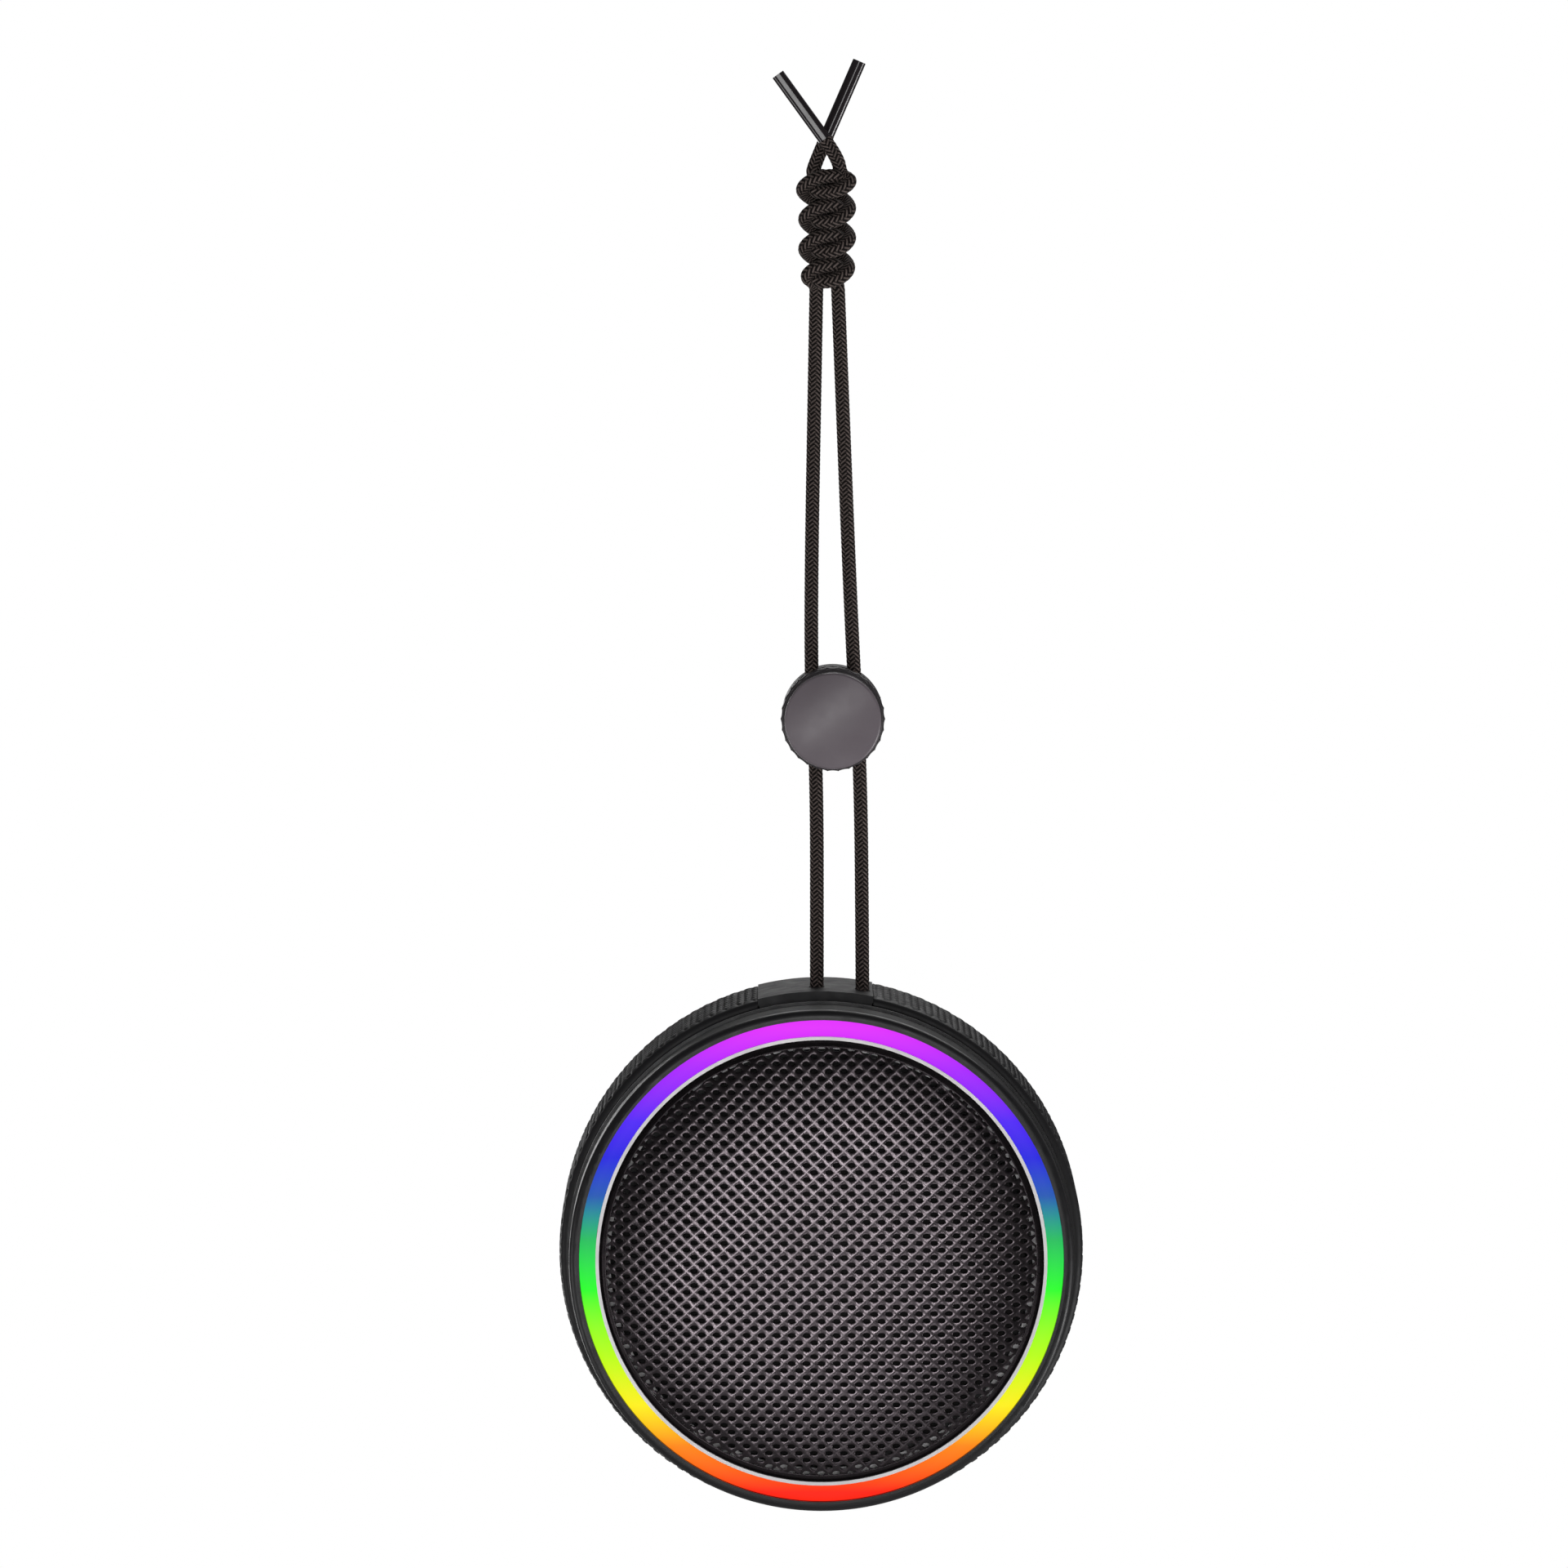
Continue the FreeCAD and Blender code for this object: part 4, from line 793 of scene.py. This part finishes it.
def grille_finish(colour, rough):
    """Dark anodised sheet with a fine rolled grain, and painted shade that darkens it towards the rim, where
    it curves down to its edge.
    """
    made = Finish("grille_anodised", colour, rough, 1.0)
    from_axis = made.add("ShaderNodeVectorMath", operation="SUBTRACT")
    from_axis.inputs[1].default_value = AXIS_AT
    made.link(made.where, from_axis.inputs[0])
    flat = made.add("ShaderNodeVectorMath", operation="MULTIPLY")
    flat.inputs[1].default_value = (1 / GRILLE_R, 0, 1 / GRILLE_R)
    made.link(from_axis.outputs["Vector"], flat.inputs[0])
    out = made.add("ShaderNodeVectorMath", operation="LENGTH")
    made.link(flat.outputs["Vector"], out.inputs[0])
    # Painted shade: the colour darkens with the distance from the axis, towards the rim of the dome.
    edge = made.ramp(out.outputs["Value"],
                     [(0.60, colour), (0.86, shade(colour, 0.62)), (1.0, shade(colour, 0.25))])
    tone = made.ramp(made.noise(260, 5), [(0.3, (0.86, 0.86, 0.86)), (0.7, (1.0, 1.0, 1.0))])
    made.link(made.multiply(edge, tone), made.shader.inputs["Base Color"])
    made.link(made.spread(made.noise(700, 4), rough - 0.04, rough + 0.06), made.shader.inputs["Roughness"])
    made.bump(made.noise(6000, 3), 0.000012, 0.6)
    return made.material


def board_finish():
    """Green circuit board with lighter copper tracks under the lacquer."""
    made = Finish("circuit_board", (0.01, 0.09, 0.04), 0.35)
    bricks = made.add("ShaderNodeTexBrick", Scale=260, Mortar_Size=0.03, Color1=(0.008, 0.075, 0.032, 1),
                      Color2=(0.010, 0.095, 0.040, 1), Mortar=(0.03, 0.17, 0.07, 1))
    turned = made.add("ShaderNodeMapping", Rotation=(math.pi / 2, 0, 0))
    made.link(made.where, turned.inputs["Vector"])
    made.link(turned.outputs["Vector"], bricks.inputs["Vector"])
    made.link(bricks.outputs["Color"], made.shader.inputs["Base Color"])
    made.bump(bricks.outputs["Fac"], 0.00003, 0.5)
    return made.material


def cloth_finish(name, colour, per_metre):
    """Woven cloth: two crossing sets of threads."""
    made = Finish(name, colour, 0.9)
    heights = []
    for direction in ("X", "Z"):
        wave = made.add("ShaderNodeTexWave", bands_direction=direction, Scale=per_metre)
        made.link(made.where, wave.inputs["Vector"])
        heights.append(wave.outputs["Fac"])
    both = made.add("ShaderNodeMath", operation="MULTIPLY")
    made.link(heights[0], both.inputs[0])
    made.link(heights[1], both.inputs[1])
    made.link(made.ramp(both.outputs["Value"], [(0.1, shade(colour, 0.5)), (0.8, shade(colour, 1.4))]),
              made.shader.inputs["Base Color"])
    made.bump(both.outputs["Value"], 0.00006, 0.8)
    return made.material


def paint(material, *names):
    """Gives a material to CAD nodes by name, or to pieces."""
    for name in names:
        piece = nodes[name] if isinstance(name, str) else name
        piece.data.materials.clear()
        piece.data.materials.append(material)


def finish_everything():
    """Each piece's finish, the outside first and then the inside. Colours are linear."""
    shell = moulded("shell_satin_black", (0.012, 0.0115, 0.013), 0.40, 12000, 0.00001, vary=0.08,
                    specular=0.4)
    paint(shell, "front_bezel", "main_housing", "rear_cover")
    rubber = moulded("tread_silicone", (0.011, 0.0105, 0.012), 0.55, 7000, 0.00002, specular=0.35)
    paint(rubber, tread, "top_pad", "foot_ring", "front_seal", "port_cover")
    caps = moulded("button_soft_rubber", (0.030, 0.029, 0.032), 0.55, 9000, 0.00002)
    paint(caps, "play_button", "volume_up_button", "volume_down_button", "power_button", "light_button")
    paint(moulded("button_mark_grey", (0.42, 0.41, 0.42), 0.5), *marks)
    sheet = grille_finish((0.165, 0.141, 0.154), 0.27)
    paint(sheet, grille, rim, "front_grille")
    paint(cloth_finish("grille_back_cloth", (0.014, 0.013, 0.013), 1500), "grille_cloth")
    trim = moulded("trim_satin_silver", (0.80, 0.78, 0.79), 0.4, 9000, 0.00001, metal=0.25, vary=0.08)
    paint(trim, "grille_trim_ring")
    paint(light_finish(), "light_ring")
    yarn = braid_finish()
    paint(yarn, "cord_strand_left", "cord_strand_right", "cord_knots", "cord_end_left", "cord_end_right",
          *cords)
    paint(moulded("cord_yarn_plain", (0.03, 0.025, 0.023), 0.8, 3000, 0.00008), "cord_turn")
    tip = moulded("tip_shrink_gloss", (0.018, 0.014, 0.016), 0.14, 1500, 0.000002, vary=0.3,
                  rough_by=0.04)
    paint(tip, "cord_tip_left", "cord_tip_right")
    cap = moulded("lock_cap_satin", (0.165, 0.140, 0.158), 0.38, 8000, 0.00001, vary=0.06,
                  rough_by=0.05)
    paint(cap, "lock_button")
    paint(moulded("lock_dark_plastic", (0.032, 0.027, 0.031), 0.45, 9000, 0.00002), "lock_body", grip)
    paint(brushed("spring_wire_steel", (0.6, 0.6, 0.6), 0.22, (1, 1, 20)), "lock_spring", spring)

    paint(brushed("zinc_plated_steel", (0.42, 0.42, 0.41), 0.35, (1, 12, 1)), "housing_screws", "cord_pin",
          "driver_screws", "board_screws", "magnet_top_plate", "magnet_yoke")
    paint(moulded("driver_black_paint", (0.03, 0.03, 0.033), 0.4, 5000), "driver_frame")
    paint(moulded("ferrite_grey", (0.05, 0.05, 0.055), 0.6, 2500, 0.00005, vary=0.3), "magnet")
    paint(moulded("cone_paper_fibre", (0.025, 0.025, 0.025), 0.85, 1800, 0.00008, vary=0.4), "cone",
          "dust_cap")
    paint(moulded("surround_butyl", (0.018, 0.018, 0.018), 0.5, 6000), "surround", surround)
    paint(cloth_finish("spider_resin_cloth", (0.5, 0.36, 0.16), 900), "spider", spider)
    paint(moulded("former_amber_film", (0.45, 0.24, 0.07), 0.3, 4000), "voice_coil_former")
    paint(brushed("coil_enamelled_copper", (0.75, 0.33, 0.16), 0.28, (1, 60, 1)), "voice_coil")
    paint(board_finish(), "main_board")
    paint(moulded("black_solder_mask", (0.012, 0.012, 0.013), 0.5, 3000), "led_board")
    paint(moulded("moulded_chip", (0.02, 0.02, 0.022), 0.5, 9000), "main_chip", "amplifier_chip",
          "button_switches", "driver_terminal")
    paint(brushed("pressed_tin", (0.6, 0.6, 0.6), 0.3, (20, 1, 1)), "bluetooth_module", "usb_socket",
          "capacitors", "microphone")
    paint(moulded("plug_nylon", (0.7, 0.68, 0.62), 0.5, 6000), "board_plugs")
    paint(moulded("lamp_package", (0.85, 0.83, 0.72), 0.3, 9000), "leds")
    paint(moulded("foam_black", (0.04, 0.04, 0.04), 0.95, 1400, 0.0002, vary=0.4), "battery_pad",
          "driver_gasket")
    paint(moulded("battery_pouch_foil", (0.5, 0.51, 0.53), 0.32, 500, 0.0001, metal=0.8), "battery")
    paint(moulded("wire_red_pvc", (0.35, 0.015, 0.012), 0.35, 8000), "speaker_wires", "battery_wires",
          "light_wires")


# ---- stage ----
WORLD_STRENGTH = 0.08
STRIP_TILT = 38
FLOOR_BELOW = 0.25
FLOOR_SOLID = 0.40
FLOOR_END = 1.0

# Each lamp's name, place, size and power
LAMPS = (
    ("front_strip", (-0.10, -2.3, -0.05), (3.2, 0.38), 24.0),
    ("low_front", (0.25, -1.3, -1.20), (0.7, 0.3), 4.5),
    ("low_right", (1.0, -0.12, -0.75), (0.4, 0.6), 12.0),
    ("low_left", (-0.95, -0.25, -0.50), (0.3, 0.6), 2.5),
    ("back_top", (0.2, 0.8, 0.7), (1.0, 0.5), 5.0),
    ("back_low", (-0.3, 1.0, -0.3), (0.8, 0.6), 4.0))


def studio():
    """A pale floor that fades out and can't be seen from below, soft lamps, and a world that gives plain even
    light and looks white to the camera."""
    scene = bpy.context.scene
    scene.view_settings.view_transform = "Standard"
    world = bpy.data.worlds.new("studio")
    scene.world = world
    world.use_nodes = True
    tree = world.node_tree
    even, plain = tree.nodes["Background"], tree.nodes.new("ShaderNodeBackground")
    even.inputs["Color"].default_value = (1, 1, 1, 1)
    even.inputs["Strength"].default_value = WORLD_STRENGTH
    plain.inputs["Color"].default_value = (1, 1, 1, 1)
    mix, ray = tree.nodes.new("ShaderNodeMixShader"), tree.nodes.new("ShaderNodeLightPath")
    tree.links.new(ray.outputs["Is Camera Ray"], mix.inputs["Fac"])
    tree.links.new(even.outputs["Background"], mix.inputs[1])
    tree.links.new(plain.outputs["Background"], mix.inputs[2])
    tree.links.new(mix.outputs["Shader"], tree.nodes["World Output"].inputs["Surface"])

    floor_z = cad_box[0][2] - FLOOR_BELOW
    pale = Finish("floor_pale", (0.8, 0.8, 0.8), 0.9)
    apart = pale.add("ShaderNodeVectorMath", operation="LENGTH")
    pale.link(pale.where, apart.inputs[0])
    fade = pale.add("ShaderNodeMapRange", interpolation_type="SMOOTHSTEP", From_Min=FLOOR_SOLID,
                    From_Max=FLOOR_END)
    pale.link(apart.outputs["Value"], fade.inputs["Value"])
    under = pale.add("ShaderNodeNewGeometry")
    unseen = pale.add("ShaderNodeMath", operation="MAXIMUM")
    pale.link(fade.outputs["Result"], unseen.inputs[0])
    pale.link(under.outputs["Backfacing"], unseen.inputs[1])
    clear, mix = pale.add("ShaderNodeBsdfTransparent"), pale.add("ShaderNodeMixShader")
    pale.link(unseen.outputs["Value"], mix.inputs["Fac"])
    pale.link(pale.shader.outputs["BSDF"], mix.inputs[1])
    pale.link(clear.outputs["BSDF"], mix.inputs[2])
    pale.link(mix.outputs["Shader"], pale.tree.nodes["Material Output"].inputs["Surface"])
    corners = np.array([(x, y, floor_z) for y in (-FLOOR_END, FLOOR_END) for x in (-FLOOR_END, FLOOR_END)])
    floor = mesh_piece("floor", corners, grid_faces(2, 2))
    floor.data.materials.append(pale.material)

    for name, place, size, power in LAMPS:
        data = bpy.data.lights.new(name, "AREA")
        data.shape = "RECTANGLE"
        data.size, data.size_y = size
        data.energy = power
        lamp = bpy.data.objects.new(name, data)
        scene.collection.objects.link(lamp)
        lamp.location = place
        aim = (AXIS_AT - lamp.location).to_track_quat("-Z", "Y")
        if name == "front_strip":
            aim = aim @ Quaternion((0, 0, 1), math.radians(STRIP_TILT))
        lamp.rotation_euler = aim.to_euler()


set_camera()
cords = make_cords()
grille = perforated_grille()
rim = grille_rim()
tread = knurled_tread()
grip = lock_grip()
spring = lock_spring()
surround, spider = flexing_rings()
marks = button_marks()
finish_everything()
studio()
